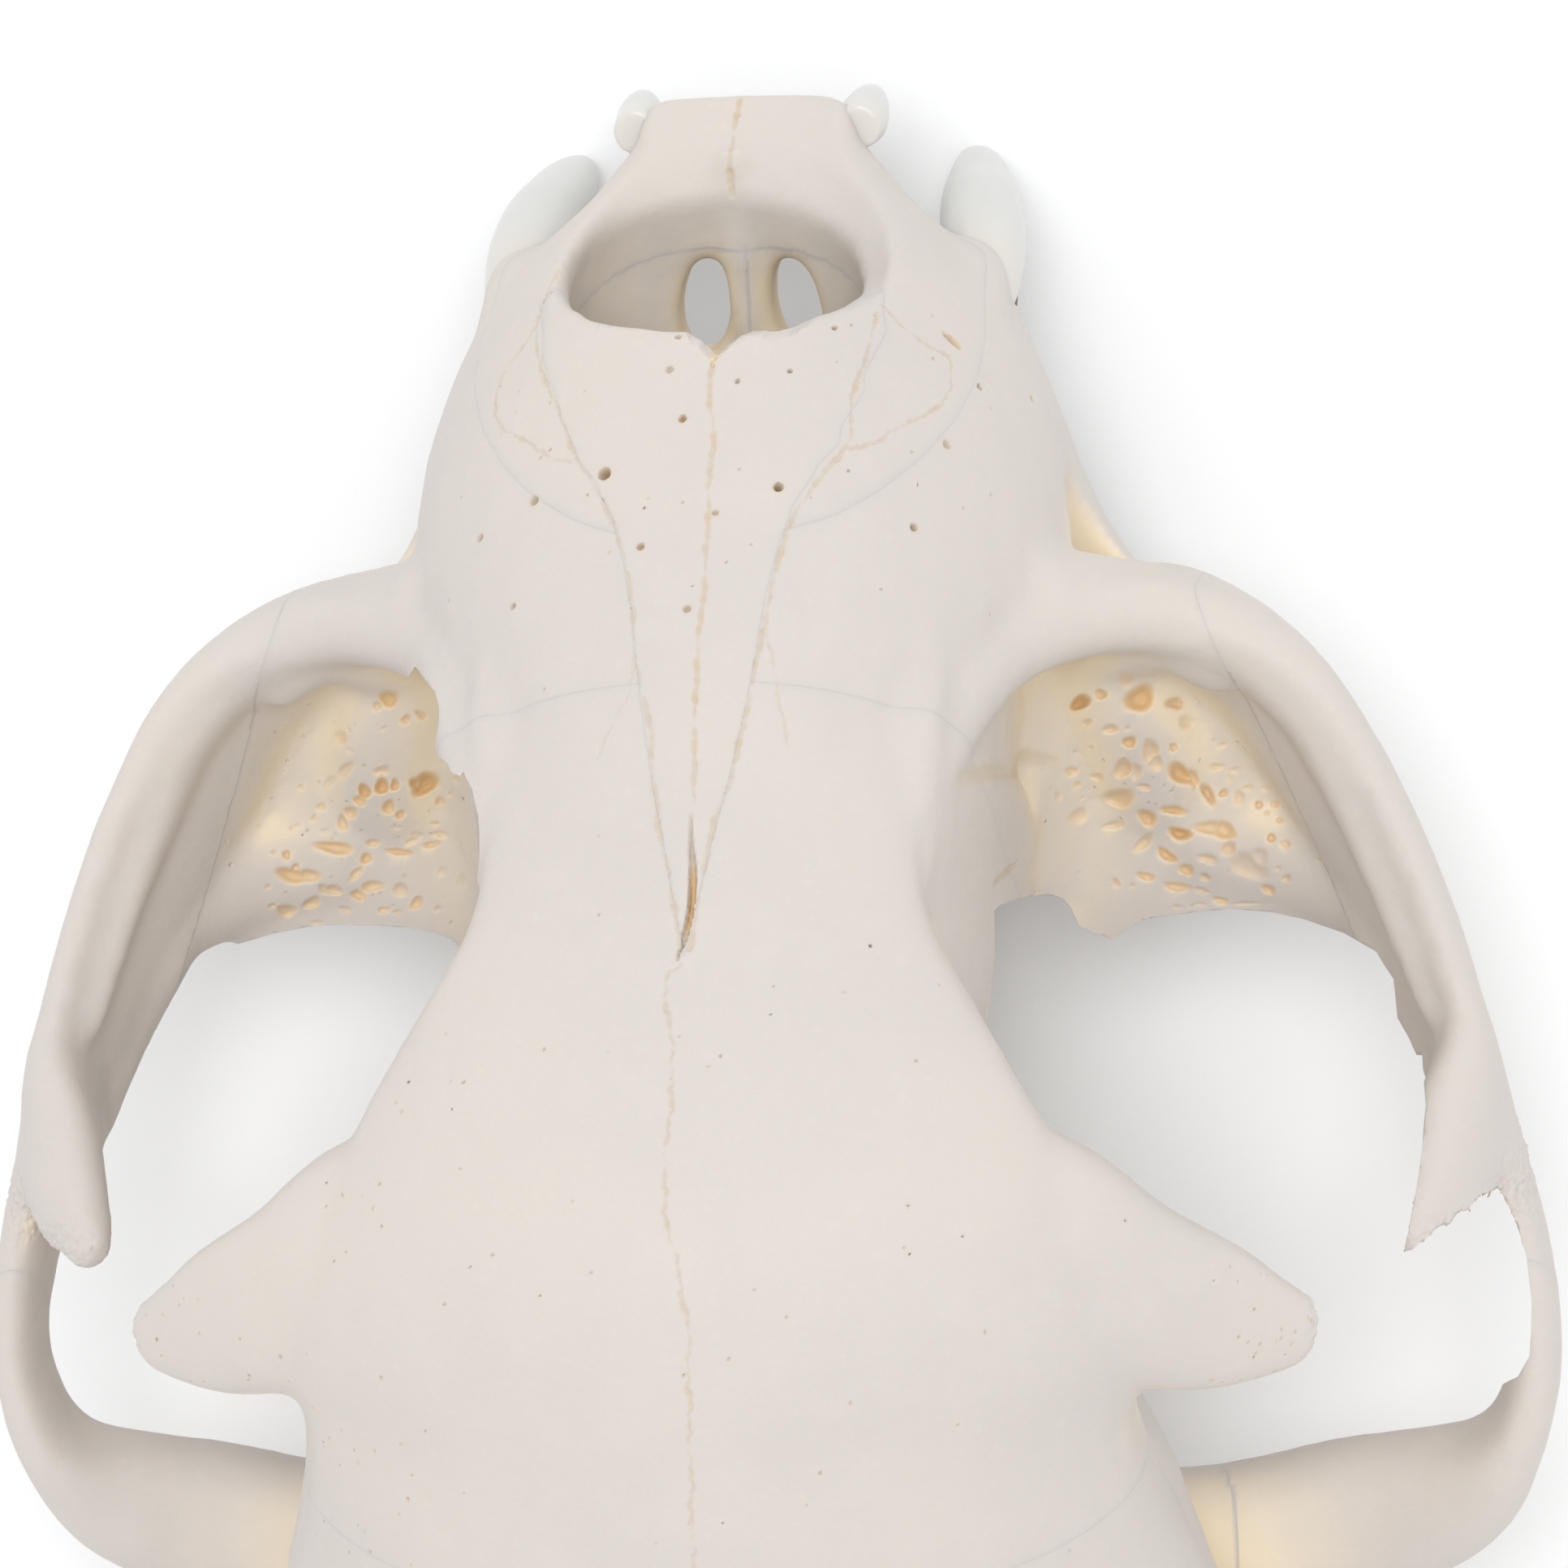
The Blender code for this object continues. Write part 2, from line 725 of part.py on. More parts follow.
def midline_blade():
    """The sheet between the two upper jaw bones, kept below the nasal and frontal bones."""
    outline = [(2.4, -5.0), (31.0, -5.0), (31.0, 8.6), (35.9, 8.6), (24.0, 21.6), (14.0, 9.0), (7.2, 4.8)]
    bm = bmesh.new()
    sides = [[bm.verts.new((x, y, z)) for y, z in outline] for x in (-SUTURE_GAP / 2, SUTURE_GAP / 2)]
    bm.faces.new(sides[0])
    bm.faces.new(reversed(sides[1]))
    for k in range(len(outline)):
        n = (k + 1) % len(outline)
        bm.faces.new((sides[0][k], sides[1][k], sides[1][n], sides[0][n]))
    bmesh.ops.recalc_face_normals(bm, faces=bm.faces)
    mesh = bpy.data.meshes.new("midline_blade")
    bm.to_mesh(mesh)
    bm.free()
    obj = bpy.data.objects.new("midline_blade", mesh)
    bpy.context.scene.collection.objects.link(obj)
    return obj


def suture_blades():
    gap = SUTURE_GAP
    yield block("incisor_bone_back", (0, 8.7, 8.0), (30.0, gap, 30.0), (-25.2, 0, 0))
    yield midline_blade()
    yield block("brow_front", (0, 28.8, 16.45), (34.0, gap, 26.5), (42.5, 0, 0))
    yield block("brow_back", (0, 51.4, 25.2), (56.0, gap, 35.0), (-18.0, 0, 0))
    yield block("palatine_front", (0, 31.0, 1.3), (18.7, gap, 14.6))
    yield block("palatine_top", (0, 42.5, 8.6), (18.7, 23.3, gap))
    yield block("palatine_back", (0, 54.0, 6.3), (18.7, gap, 4.6))
    yield block("nape", (0, 81.25, 16.5), (52.0, gap, 34.0), (-9.5, 0, 0))
    for name, side in SIDES:
        yield block(f"palatine_side_{name}", (9.2 * side, 34.0, 1.3), (gap, 6.3, 14.6))
        yield block(f"cheek_{name}", (21.95 * side, 27.8, 7.5), (gap, 23.0, 20.0), (0, 0, -20.1 * side))
        yield block(f"arch_{name}", (32.2 * side, 50.2, 12.4), (9.0, gap, 13.0), (38.0, 0, 0))
        yield block(f"temple_{name}", (18.35 * side, 59.4, 9.25), (gap, 11.7, 14.3), (0, 18.4 * side, 0))
        yield block(f"jaw_joint_back_{name}", (22.6 * side, 65.2, 6.5), (12.4, gap, 10.0))
        yield block(f"ear_capsule_top_{name}", (10.6 * side, 69.4, 5.3), (12.4, 20.2, gap))
        yield block(f"ear_ring_top_{name}", (18.6 * side, 72.35, 5.3), (5.2, 14.3, gap))


NASAL_POINT = (0.0, 15.0, 21.0)

# A point near the surface of each other bone, by which the parted pieces are named.
BONES = {
    "premaxilla": (0.0, 2.4, 1.4),
    "frontal_bone": (0.0, 42.0, 38.0),
    "braincase": (0.0, 66.0, 36.0),
    "occipital_bone": (0.0, 87.5, 22.0),
    "palatine_pterygoid": (0.0, 34.0, 1.2),
}
PAIRED_BONES = {
    "maxilla": (12.0, 15.0, 9.0),
    "zygomatic": (29.0, 34.0, 10.0),
    "squamosal": (32.6, 55.0, 12.8),
    "bulla": (11.6, 69.5, -3.0),
}


def bone_points():
    points = dict(BONES)
    for name, (x, y, z) in PAIRED_BONES.items():
        for suffix, side in SIDES:
            points[f"{name}_{suffix}"] = (x * side, y, z)
    return points


def loose_pieces(mesh):
    """Each separate closed surface of a mesh, as its points and faces."""
    parent = list(range(len(mesh.vertices)))

    def root(i):
        while parent[i] != i:
            parent[i] = parent[parent[i]]
            i = parent[i]
        return i

    for edge in mesh.edges:
        a, b = (root(i) for i in edge.vertices)
        parent[a] = b
    faces = {}
    for face in mesh.polygons:
        faces.setdefault(root(face.vertices[0]), []).append(tuple(face.vertices))
    for group in faces.values():
        used = sorted({i for face in group for i in face})
        number = {old: new for new, old in enumerate(used)}
        points = [mesh.vertices[i].co.copy() for i in used]
        yield points, [tuple(number[i] for i in face) for face in group]


def object_from_piece(name, piece):
    mesh = bpy.data.meshes.new(name)
    mesh.from_pydata(piece[0], [], piece[1])
    obj = bpy.data.objects.new(name, mesh)
    bpy.context.scene.collection.objects.link(obj)
    return obj


def nearest_piece(pieces, point):
    near = Vector(point)
    return min(pieces, key=lambda piece: min((p - near).length for p in piece[0]))


def parted_bones(bone):
    """One object for each named bone, cut from the whole along its sutures."""
    cut_away(bone, nasal_blade())
    pieces = list(loose_pieces(bone.data))
    bpy.data.objects.remove(bone)
    nasal = nearest_piece(pieces, NASAL_POINT)
    rest = object_from_piece("rest", nearest_piece(pieces, BONES["frontal_bone"]))
    for blade in suture_blades():
        cut_away(rest, blade)
    pieces = [piece for piece in loose_pieces(rest.data) if len(piece[0]) > 40]
    bpy.data.objects.remove(rest)
    bones = {"nasal_bones": object_from_piece("nasal_bones", nasal)}
    for name, point in bone_points().items():
        bones[name] = object_from_piece(name, nearest_piece(pieces, point))
    return bones


# Teeth. Each cusp is x, y, z of its foot, its half length, its half width, its height and how far
# its tip moves in x and y. All of them are drawn for the left side.

INCISORS = [
    (0.9, 1.3, 0.6, 0.75, 0.65, 2.0, 0.0, -0.5),
    (2.5, 1.5, 0.6, 0.85, 0.75, 2.3, 0.0, -0.5),
    (4.7, 2.3, 0.6, 1.15, 1.1, 3.2, 0.25, -0.9),
]
CHEEK_TEETH = [
    (11.0, 13.4, 0.9, 0.9, 0.75, 1.3, 0.0, 0.1),
    (11.8, 16.6, 0.9, 1.5, 1.1, 2.2, 0.1, 0.3),
    (12.5, 18.6, 0.9, 1.9, 1.3, 4.0, 0.1, 0.4),
    (13.3, 20.6, 0.9, 1.3, 1.1, 2.0, 0.1, 0.2),
    (13.6, 22.2, 0.9, 1.5, 1.2, 3.0, 0.1, 0.2),
    (14.9, 24.8, 0.9, 2.3, 1.4, 5.2, 0.2, 0.5),
    (13.0, 23.4, 0.9, 1.3, 1.4, 1.8, -0.2, 0.1),
    (16.0, 28.2, 0.9, 2.5, 1.1, 3.8, 0.2, 0.9),
    (16.2, 31.4, 1.0, 1.0, 1.1, 1.3, 0.0, 0.2),
    (14.6, 31.8, 1.0, 0.9, 1.1, 1.0, 0.0, 0.2),
]
CUSP_PROFILE = ((-0.9, 0.8), (0.0, 1.0), (0.4, 0.82), (0.75, 0.45), (1.0, 0.12))

CANINE_PATH = [
    (9.9, 9.6, 5.2, 1.15, 1.0, 0),
    (9.9, 8.8, 3.2, 1.55, 1.35, 0),
    (9.8, 7.8, 1.0, 1.85, 1.65, 0),
    (9.6, 6.9, -1.2, 1.75, 1.55, 0),
    (9.3, 5.9, -4.0, 1.35, 1.2, 0),
    (9.0, 5.0, -6.6, 0.8, 0.75, 0),
    (8.8, 4.5, -8.2, 0.3, 0.3, 0),
]


def cusp(name, side, x, y, z, half_length, half_width, height, lean_x, lean_y):
    """A pointed crown with its root sunk in the bone above it."""
    along, across = ring_offsets(8, 2.0)
    rings = []
    for drop, share in CUSP_PROFILE:
        middle = np.array([x + lean_x * max(drop, 0), y + lean_y * max(drop, 0), z - height * drop])
        if drop < 0:
            middle[2] = z - 1.6 * drop
        ring = np.zeros((len(along), 3))
        ring[:, 0] = along * half_width * share
        ring[:, 1] = across * half_length * share
        rings.append(((middle + ring) * np.array([side, 1.0, 1.0])))
    return object_from_rings(name, rings)


def canine(name, side, grown=0.0):
    rows = [(x, y, z, a + grown, b + grown, lean) for x, y, z, a, b, lean in CANINE_PATH]
    if grown:
        rows[0] = (9.9, 9.6 + 0.4 * grown, 5.2 + grown, *rows[0][3:])
        rows = rows[:4]
    return swept_form(name, rows, across=(0, 1, 0), side=side, steps=9, sides=12, rounding=0.35)


def add_teeth(bones):
    for name, side in SIDES:
        for number, row in enumerate(INCISORS):
            added_to(bones["premaxilla"], cusp(f"incisor_{name}_{number}", side, *row))
        for number, row in enumerate(CHEEK_TEETH):
            added_to(bones[f"maxilla_{name}"], cusp(f"cheek_tooth_{name}_{number}", side, *row))
        cut_away(bones[f"maxilla_{name}"], canine(f"canine_socket_{name}", side, SUTURE_GAP))
        bones[f"canine_{name}"] = canine(f"canine_{name}", side)


def largest_surface(obj):
    points, faces = max(loose_pieces(obj.data), key=lambda piece: len(piece[0]))
    mesh = bpy.data.meshes.new(obj.name)
    mesh.from_pydata(points, [], faces)
    obj.data = mesh


def set_down(bones):
    """Turn the skull nose up, rest it on the floor about its own middle, and scale it to metres."""
    turn = Matrix.Rotation(math.radians(-REST_PITCH_DEG), 4, "X")
    corners = [turn @ v.co for obj in bones.values() for v in obj.data.vertices]
    low = [min(c[k] for c in corners) for k in range(3)]
    high = [max(c[k] for c in corners) for k in range(3)]
    shift = Vector((-(low[0] + high[0]) / 2, -(low[1] + high[1]) / 2, -low[2]))
    scale = MM * SKULL_LENGTH / DRAWN["length"]
    place = Matrix.Scale(scale, 4) @ Matrix.Translation(shift) @ turn
    for obj in bones.values():
        obj.data.transform(place)


# Finish.

BONE_COLOUR = (0.765, 0.725, 0.675)
INNER_BONE_COLOUR = (0.72, 0.66, 0.58)
ENAMEL_COLOUR = (0.76, 0.74, 0.71)


def finish(name, obj):
    """The bone's own dull material, and smooth shading."""
    tooth = name.startswith("canine")
    inner = name in ("palatine_pterygoid", "bulla_left", "bulla_right")
    colour = ENAMEL_COLOUR if tooth else INNER_BONE_COLOUR if inner else BONE_COLOUR
    material = bpy.data.materials.new(f"{name}_surface")
    material.use_nodes = True
    shader = material.node_tree.nodes["Principled BSDF"]
    shader.inputs["Base Color"].default_value = (*colour, 1.0)
    shader.inputs["Roughness"].default_value = 0.3 if tooth else 0.62
    shader.inputs["Metallic"].default_value = 0.0
    material.diffuse_color = (*colour, 1.0)
    obj.data.materials.clear()
    obj.data.materials.append(material)
    obj.data.shade_smooth()
    obj.data.set_sharp_from_angle(angle=math.radians(40))


def main():
    clear_scene()
    bone = thinned(whole_bone(), BONE_TRIANGLES)
    bones = parted_bones(bone)
    add_teeth(bones)
    for obj in bones.values():
        largest_surface(obj)
    set_down(bones)
    for name, obj in bones.items():
        finish(name, obj)


if __name__ == "__main__":
    main()
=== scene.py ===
"""Cat skull without its lower jaw, life size, dressed around the packed part.

The bone is drawn in the skull's own frame, in millimetres: X to the animal's left, Y from the front
teeth to the back of the head, Z up from the palate. Its forms are fused into one bone, carved with
sutures, small openings and spongy floors, parted into named bones, and set down where the part lies.
"""

import json
import math

import bmesh
import bpy
import numpy as np
from bpy.props import FloatProperty, FloatVectorProperty, IntProperty, PointerProperty
from mathutils import Matrix, Vector
from mathutils.bvhtree import BVHTree
from mathutils.kdtree import KDTree

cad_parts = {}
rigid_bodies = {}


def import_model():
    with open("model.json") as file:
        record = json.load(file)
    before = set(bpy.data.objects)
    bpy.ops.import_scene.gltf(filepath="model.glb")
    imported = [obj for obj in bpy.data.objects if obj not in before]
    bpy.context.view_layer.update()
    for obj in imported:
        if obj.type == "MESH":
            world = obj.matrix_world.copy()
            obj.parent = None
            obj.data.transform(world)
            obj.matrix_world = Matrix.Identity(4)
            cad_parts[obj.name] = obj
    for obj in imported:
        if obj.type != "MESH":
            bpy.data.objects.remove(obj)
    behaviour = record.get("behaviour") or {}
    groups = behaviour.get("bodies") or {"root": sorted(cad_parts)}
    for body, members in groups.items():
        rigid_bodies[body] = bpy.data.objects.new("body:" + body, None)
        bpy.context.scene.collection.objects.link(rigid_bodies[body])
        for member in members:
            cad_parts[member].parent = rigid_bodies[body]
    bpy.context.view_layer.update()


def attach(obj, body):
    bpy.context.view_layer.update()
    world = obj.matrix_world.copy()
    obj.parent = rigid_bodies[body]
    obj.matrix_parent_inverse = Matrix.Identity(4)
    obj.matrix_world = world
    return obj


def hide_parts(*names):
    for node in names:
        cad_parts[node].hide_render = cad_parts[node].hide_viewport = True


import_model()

bl_info = {
    "name": "Cat skull",
    "version": (1, 0, 0),
    "blender": (4, 5, 0),
    "location": "3D View > Sidebar > Skull",
    "description": "A cat's skull without its lower jaw, with its teeth, and the pale stage it lies on",
    "category": "Add Mesh",
}

MM = 0.001
SIDES = (("left", 1), ("right", -1))

# How the drawn skull is set down: turned nose up about X, then moved so that it stands where the part does.
REST_PITCH_DEG = 4.9
REST_SHIFT = (0.0366, -45.729, 8.9392)

# The camera as it stood for the photograph, in the skull's own frame in millimetres.
CAMERA_PLACE = (-46.0841, -55.388, 343.8314)
CAMERA_BACK = (-0.1289, -0.2420, 0.9617)
CAMERA_RIGHT = (-0.9916, 0.0452, -0.1215)


def camera_axes():
    """Rightwards in the picture, upwards in it, and from the skull towards the camera."""
    back = Vector(CAMERA_BACK).normalized()
    right = Vector(CAMERA_RIGHT)
    right = (right - back * right.dot(back)).normalized()
    return right, back.cross(right), back


def set_down_matrix():
    """From the skull's own frame in millimetres to the part's frame in metres."""
    turn = Matrix.Rotation(math.radians(-REST_PITCH_DEG), 4, "X")
    return Matrix.Scale(MM, 4) @ Matrix.Translation(REST_SHIFT) @ turn


# Sizes and colours that can be changed.


def length(name, description, millimetres):
    kind = {"min": 0.0, "precision": 5, "subtype": "DISTANCE", "unit": "LENGTH"}
    return FloatProperty(name=name, description=description, default=millimetres * MM, **kind)


def colour(name, description, red, green, blue):
    kind = {"default": (red, green, blue), "min": 0.0, "max": 1.0, "size": 3, "subtype": "COLOR"}
    return FloatVectorProperty(name=name, description=description, **kind)


def share(name, description, value):
    return FloatProperty(name=name, description=description, default=value, min=0.0, max=1.0, subtype="FACTOR")


def amount(name, description, value, unit="NONE"):
    return FloatProperty(name=name, description=description, default=value, min=0.0, unit=unit)


class BoneSizes(bpy.types.PropertyGroup):
    """Sizes of the bone and of what is carved in it"""

    braincase_width: length("Braincase width", "Across the widest part of the braincase", 44.0)
    arch_spread: length("Cheek arch spread", "Across the two cheek arches", 66.8)
    brow_spread: length("Brow spread", "Across the tips of the two brow processes", 48.6)
    nose_width: length("Nose opening width", "Across the hollow of the nose behind its rim", 14.0)
    grain: length("Fineness", "Size of the smallest faces before carving", 0.3)
    softening: IntProperty(
        name="Softening", description="How often the fused bone is smoothed", default=16, min=0
    )
    suture_width: length("Suture width", "Width of the drawn sutures", 0.2)
    suture_depth: length("Suture depth", "Depth of the drawn sutures", 0.06)
    pit_depth: length("Pit depth", "Depth of the deepest pits in the eye socket floors", 0.62)
    lumps: length("Lumps", "Height of the slow unevenness of the surface", 0.07)


class ToothSizes(bpy.types.PropertyGroup):
    """Sizes of the teeth"""

    canine_length: length("Canine length", "From the socket to the tip", 9.2)
    canine_width: length("Canine width", "Front to back where the canine leaves its socket", 3.7)
    crown_height: length("Shearing tooth height", "Tallest cusp of the large shearing tooth", 5.2)
    fineness: length("Fineness", "Size of the smallest faces of a tooth", 0.13)


class SkullFinish(bpy.types.PropertyGroup):
    """Colours and finish of bone and enamel"""

    bone: colour("Bone", "Open faces of the clean bone", 0.592, 0.55, 0.52)
    # Painted warm light: a warm tan laid on the bone by its shelter in hollows and under edges, standing for
    # light bounced there and shone through the thin bone. A little of it also tints the random cloud and
    # flecks.
    tan_and_painted_hollow_light: colour("Sheltered bone", "Bone in hollows and under edges", 0.83, 0.725, 0.565)
    # Painted shade and tan: this colour fills small openings and pores by their depth, which is painted shade,
    # and colours the pits of the socket floors, partly their own tan and partly painted shade.
    pore_tan_and_painted_shade: colour("Pores", "Inside pores and small openings", 0.70, 0.47, 0.22)
    suture: colour("Sutures", "Along the sutures", 0.6, 0.49, 0.345)
    speck: colour("Specks", "The few dark specks on the bone", 0.10, 0.075, 0.06)
    enamel: colour("Enamel", "Crowns of the teeth", 0.62, 0.62, 0.60)
    enamel_foot: colour("Tooth neck", "Teeth where they meet the bone", 0.64, 0.615, 0.575)
    bone_roughness: share("Bone roughness", "How dull the bone is", 0.56)
    enamel_roughness: share("Enamel roughness", "How dull the enamel is", 0.28)


class StageLook(bpy.types.PropertyGroup):
    """The floor, the light and the camera"""

    floor: colour("Floor", "Colour of the floor", 0.93, 0.94, 0.95)
    key_light: amount("Key light", "Power of the large soft light", 3.5, "POWER")
    fill_light: amount("Fill light", "Strength of the light from all around", 0.94)
    lens: amount("Lens", "Focal length of the camera", 189.57, "CAMERA")


# Objects and meshes.


def object_from_mesh(name, mesh):
    obj = bpy.data.objects.new(name, mesh)
    bpy.context.scene.collection.objects.link(obj)
    return obj


def object_from_bmesh(name, bm):
    mesh = bpy.data.meshes.new(name)
    bm.to_mesh(mesh)
    bm.free()
    return object_from_mesh(name, mesh)


def write_values(mesh, values):
    """Writes one value for each point of the mesh under each of the names."""
    for label, row in values.items():
        mesh.attributes.new(label, "FLOAT", "POINT").data.foreach_set("value", np.asarray(row, np.float32))


def mesh_points(mesh):
    points = np.empty(len(mesh.vertices) * 3)
    mesh.vertices.foreach_get("co", points)
    return points.reshape(-1, 3)


def mesh_triangles(mesh):
    mesh.calc_loop_triangles()
    triangles = np.empty(len(mesh.loop_triangles) * 3, int)
    mesh.loop_triangles.foreach_get("vertices", triangles)
    return triangles.reshape(-1, 3)


def applied(obj):
    """The object with its modifiers made part of its mesh."""
    graph = bpy.context.evaluated_depsgraph_get()
    mesh = bpy.data.meshes.new_from_object(obj.evaluated_get(graph))
    obj.modifiers.clear()
    obj.data = mesh
    return obj


def modified(obj, kind, **settings):
    """The object with one more modifier made part of its mesh."""
    made = obj.modifiers.new(kind.lower(), kind)
    for name, value in settings.items():
        setattr(made, name, value)
    return applied(obj)


def fused(obj, voxel):
    return modified(obj, "REMESH", mode="VOXEL", voxel_size=voxel, adaptivity=0.0)


def smoothed(obj, passes):
    return modified(obj, "SMOOTH", factor=0.5, iterations=passes)


def combined(obj, other, operation):
    """The object with the other one cut away or grown in. The other one is removed."""
    modified(obj, "BOOLEAN", operation=operation, solver="MANIFOLD", object=other)
    bpy.data.objects.remove(other)
    return obj


def joined(name, objects):
    """One object that holds the meshes of all of these, which are removed."""
    bm = bmesh.new()
    for obj in objects:
        bm.from_mesh(obj.data)
        bpy.data.objects.remove(obj)
    return object_from_bmesh(name, bm)


# Building blocks of the forms.

# How the ends of a form are drawn in: what share of the last ring is left, and how far out it stands.
DOME = ((0.94, 0.34), (0.77, 0.64), (0.5, 0.87), (0.17, 0.985))


def smooth_rows(rows, steps):
    """Rows read off a smooth curve through the given ones."""
    rows = np.array(rows, float)
    t = np.linspace(0, len(rows) - 1, steps)
    i = np.clip(t.astype(int), 0, len(rows) - 2)
    f = (t - i)[:, None]
    padded = np.vstack([2 * rows[0] - rows[1], rows, 2 * rows[-1] - rows[-2]])
    a, b, c, d = padded[i], padded[i + 1], padded[i + 2], padded[i + 3]
    return b + 0.5 * f * (c - a + f * (2 * a - 5 * b + 4 * c - d + f * (3 * (b - c) + d - a)))


def ring_offsets(sides, squareness):
    """Unit points round a superellipse, as pairs along and across."""
    angle = np.linspace(0, 2 * math.pi, sides, endpoint=False)
    power = 2 / squareness
    along = np.sign(np.cos(angle)) * np.abs(np.cos(angle)) ** power
    across = np.sign(np.sin(angle)) * np.abs(np.sin(angle)) ** power
    return along, across


def object_from_rings(name, rings):
    """A closed body skinned over a row of rings, with one face on each end."""
    bm = bmesh.new()
    loops = [[bm.verts.new(p) for p in ring] for ring in rings]
    sides = len(loops[0])
    for here, there in zip(loops, loops[1:]):
        for k in range(sides):
            n = (k + 1) % sides
            bm.faces.new((here[k], here[n], there[n], there[k]))
    bm.faces.new(reversed(loops[0]))
    bm.faces.new(loops[-1])
    bmesh.ops.recalc_face_normals(bm, faces=bm.faces)
    return object_from_bmesh(name, bm)


def with_domes(rings, rounding):
    """The rings with each end drawn in over a short dome."""
    def dome(ring, other):
        middle = ring.mean(axis=0)
        out = middle - other.mean(axis=0)
        out = out / np.linalg.norm(out)
        return [middle + (ring - middle) * shrink + out * rounding * push for shrink, push in DOME]

    start = dome(rings[0], rings[1])[::-1]
    end = dome(rings[-1], rings[-2])
    return start + list(rings) + end


def lengthwise_form(name, rows, side=1, steps=28, sides=36, squareness=2.0, rounding=1.0):
    """A body whose cross-sections stand across Y. Each row is y, half width, middle height,
    reach up and reach down, with one more number where the middle stands off the midline."""
    rings = []
    along, across = ring_offsets(sides, squareness)
    for row in smooth_rows(rows, steps):
        y, half, middle, up, down = row[:5]
        x = row[5] * side if len(row) > 5 else 0.0
        z = middle + np.where(across > 0, up, down) * across
        rings.append(np.stack([x + half * along, np.full(sides, y), z], axis=1))
    return object_from_rings(name, with_domes(rings, rounding))


def swept_form(name, rows, side=1, across=(0, 0, 1), steps=30, sides=18, squareness=2.2, rounding=0.8):
    """A body swept along a path. Each row is the path's x, y, z, the half size along the across
    direction, the half size square to it, and a lean in degrees about the path."""
    rows = smooth_rows(rows, steps)
    tangents = np.gradient(rows[:, :3], axis=0)
    tangents /= np.linalg.norm(tangents, axis=1)[:, None]
    along, beside = ring_offsets(sides, squareness)
    rings = []
    for row, tangent in zip(rows, tangents):
        up = np.array(across, float)
        up -= tangent * up.dot(tangent)
        up /= np.linalg.norm(up)
        out = np.cross(tangent, up)
        lean = math.radians(row[5])
        up, out = up * math.cos(lean) + out * math.sin(lean), out * math.cos(lean) - up * math.sin(lean)
        rings.append(row[:3] + np.outer(along * row[3], up) + np.outer(beside * row[4], out))
    rings = with_domes(rings, rounding)
    if side < 0:
        rings = [ring * np.array([-1.0, 1.0, 1.0]) for ring in rings]
    return object_from_rings(name, rings)


def egg_form(name, centre, side=1, radii=(1.0, 1.0, 1.0), yaw=0.0, pitch=0.0):
    """An egg: a UV sphere stretched to its three radii, turned and placed."""
    bm = bmesh.new()
    bmesh.ops.create_uvsphere(bm, u_segments=28, v_segments=18, radius=1.0)
    turn = Matrix.Rotation(math.radians(yaw) * side, 4, "Z") @ Matrix.Rotation(math.radians(pitch), 4, "X")
    place = Matrix.Translation((centre[0] * side, centre[1], centre[2]))
    bm.transform(place @ turn @ Matrix.Diagonal((*radii, 1.0)))
    return object_from_bmesh(name, bm)


def block(name, centre, size, turn=(0.0, 0.0, 0.0)):
    """A box of the given size, turned by degrees about X, Y and Z."""
    bm = bmesh.new()
    bmesh.ops.create_cube(bm, size=1.0)
    spin = Matrix.Identity(4)
    for degrees, axis in zip(turn, "XYZ"):
        spin = Matrix.Rotation(math.radians(degrees), 4, axis) @ spin
    bm.transform(Matrix.Translation(centre) @ spin @ Matrix.Diagonal((*size, 1.0)))
    return object_from_bmesh(name, bm)


def prism(name, outline, low, high):
    """A closed body over an outline, each of whose points is carried to low for one end and to high for
    the other."""
    bm = bmesh.new()
    rings = [[bm.verts.new(carry(Vector((*point, 0.0)))) for point in outline] for carry in (low, high)]
    bm.faces.new(rings[0])
    bm.faces.new(rings[1])
    for k in range(len(outline)):
        n = (k + 1) % len(outline)
        bm.faces.new((rings[0][k], rings[0][n], rings[1][n], rings[1][k]))
    bmesh.ops.recalc_face_normals(bm, faces=bm.faces)
    return object_from_bmesh(name, bm)


# How much further out the left eye socket's rim lies where it turns down, and in which of its rows.
LEFT_RIM_OUT = 0.7
LEFT_RIM_ROWS = (1, 2)


def rim_form(name, rows, side, **shape):
    if side > 0:
        rows = [(x + LEFT_RIM_OUT if k in LEFT_RIM_ROWS else x, *rest) for k, (x, *rest) in enumerate(rows)]
    return swept_form(name, rows, side=side, **shape)


# The forms that the bone is fused from: for each one what makes it, its shape and its rows. Those in a table
# of pairs are given as they are on the left side.

# Forms of the face.

FACE = {
    "muzzle": (lengthwise_form, {"squareness": 2.25}, [
        (3.0, 4.6, 3.0, 6.0, 2.4), (5.0, 6.9, 3.4, 11.2, 3.0), (8.0, 10.2, 4.2, 13.0, 3.6),
        (12.0, 12.5, 5.0, 14.8, 3.8), (16.0, 13.7, 5.8, 16.9, 4.2), (20.0, 13.8, 7.0, 18.4, 5.2),
        (24.0, 11.0, 10.0, 18.3, 8.0), (29.0, 8.6, 12.0, 19.8, 8.0),
    ]),
    "incisor_bone": (lengthwise_form, {"squareness": 3.2, "rounding": 0.5}, [
        (1.15, 4.5, 1.6, 1.2, 1.1), (2.6, 4.8, 1.9, 2.2, 1.4), (4.4, 6.3, 2.3, 3.2, 1.7),
        (7.0, 8.4, 2.6, 3.4, 1.9),
    ]),
    "palate": (lengthwise_form, {"squareness": 3.4, "rounding": 0.8}, [
        (5.0, 6.0, 1.9, 1.2, 1.3), (9.0, 8.4, 1.9, 1.2, 1.2), (15.0, 10.0, 2.0, 1.2, 1.2),
        (21.0, 12.5, 2.1, 1.3, 1.2), (27.0, 14.5, 2.1, 1.3, 1.2), (31.5, 13.5, 2.1, 1.3, 1.2),
        (35.5, 6.5, 2.2, 1.2, 1.2),
    ]),
}
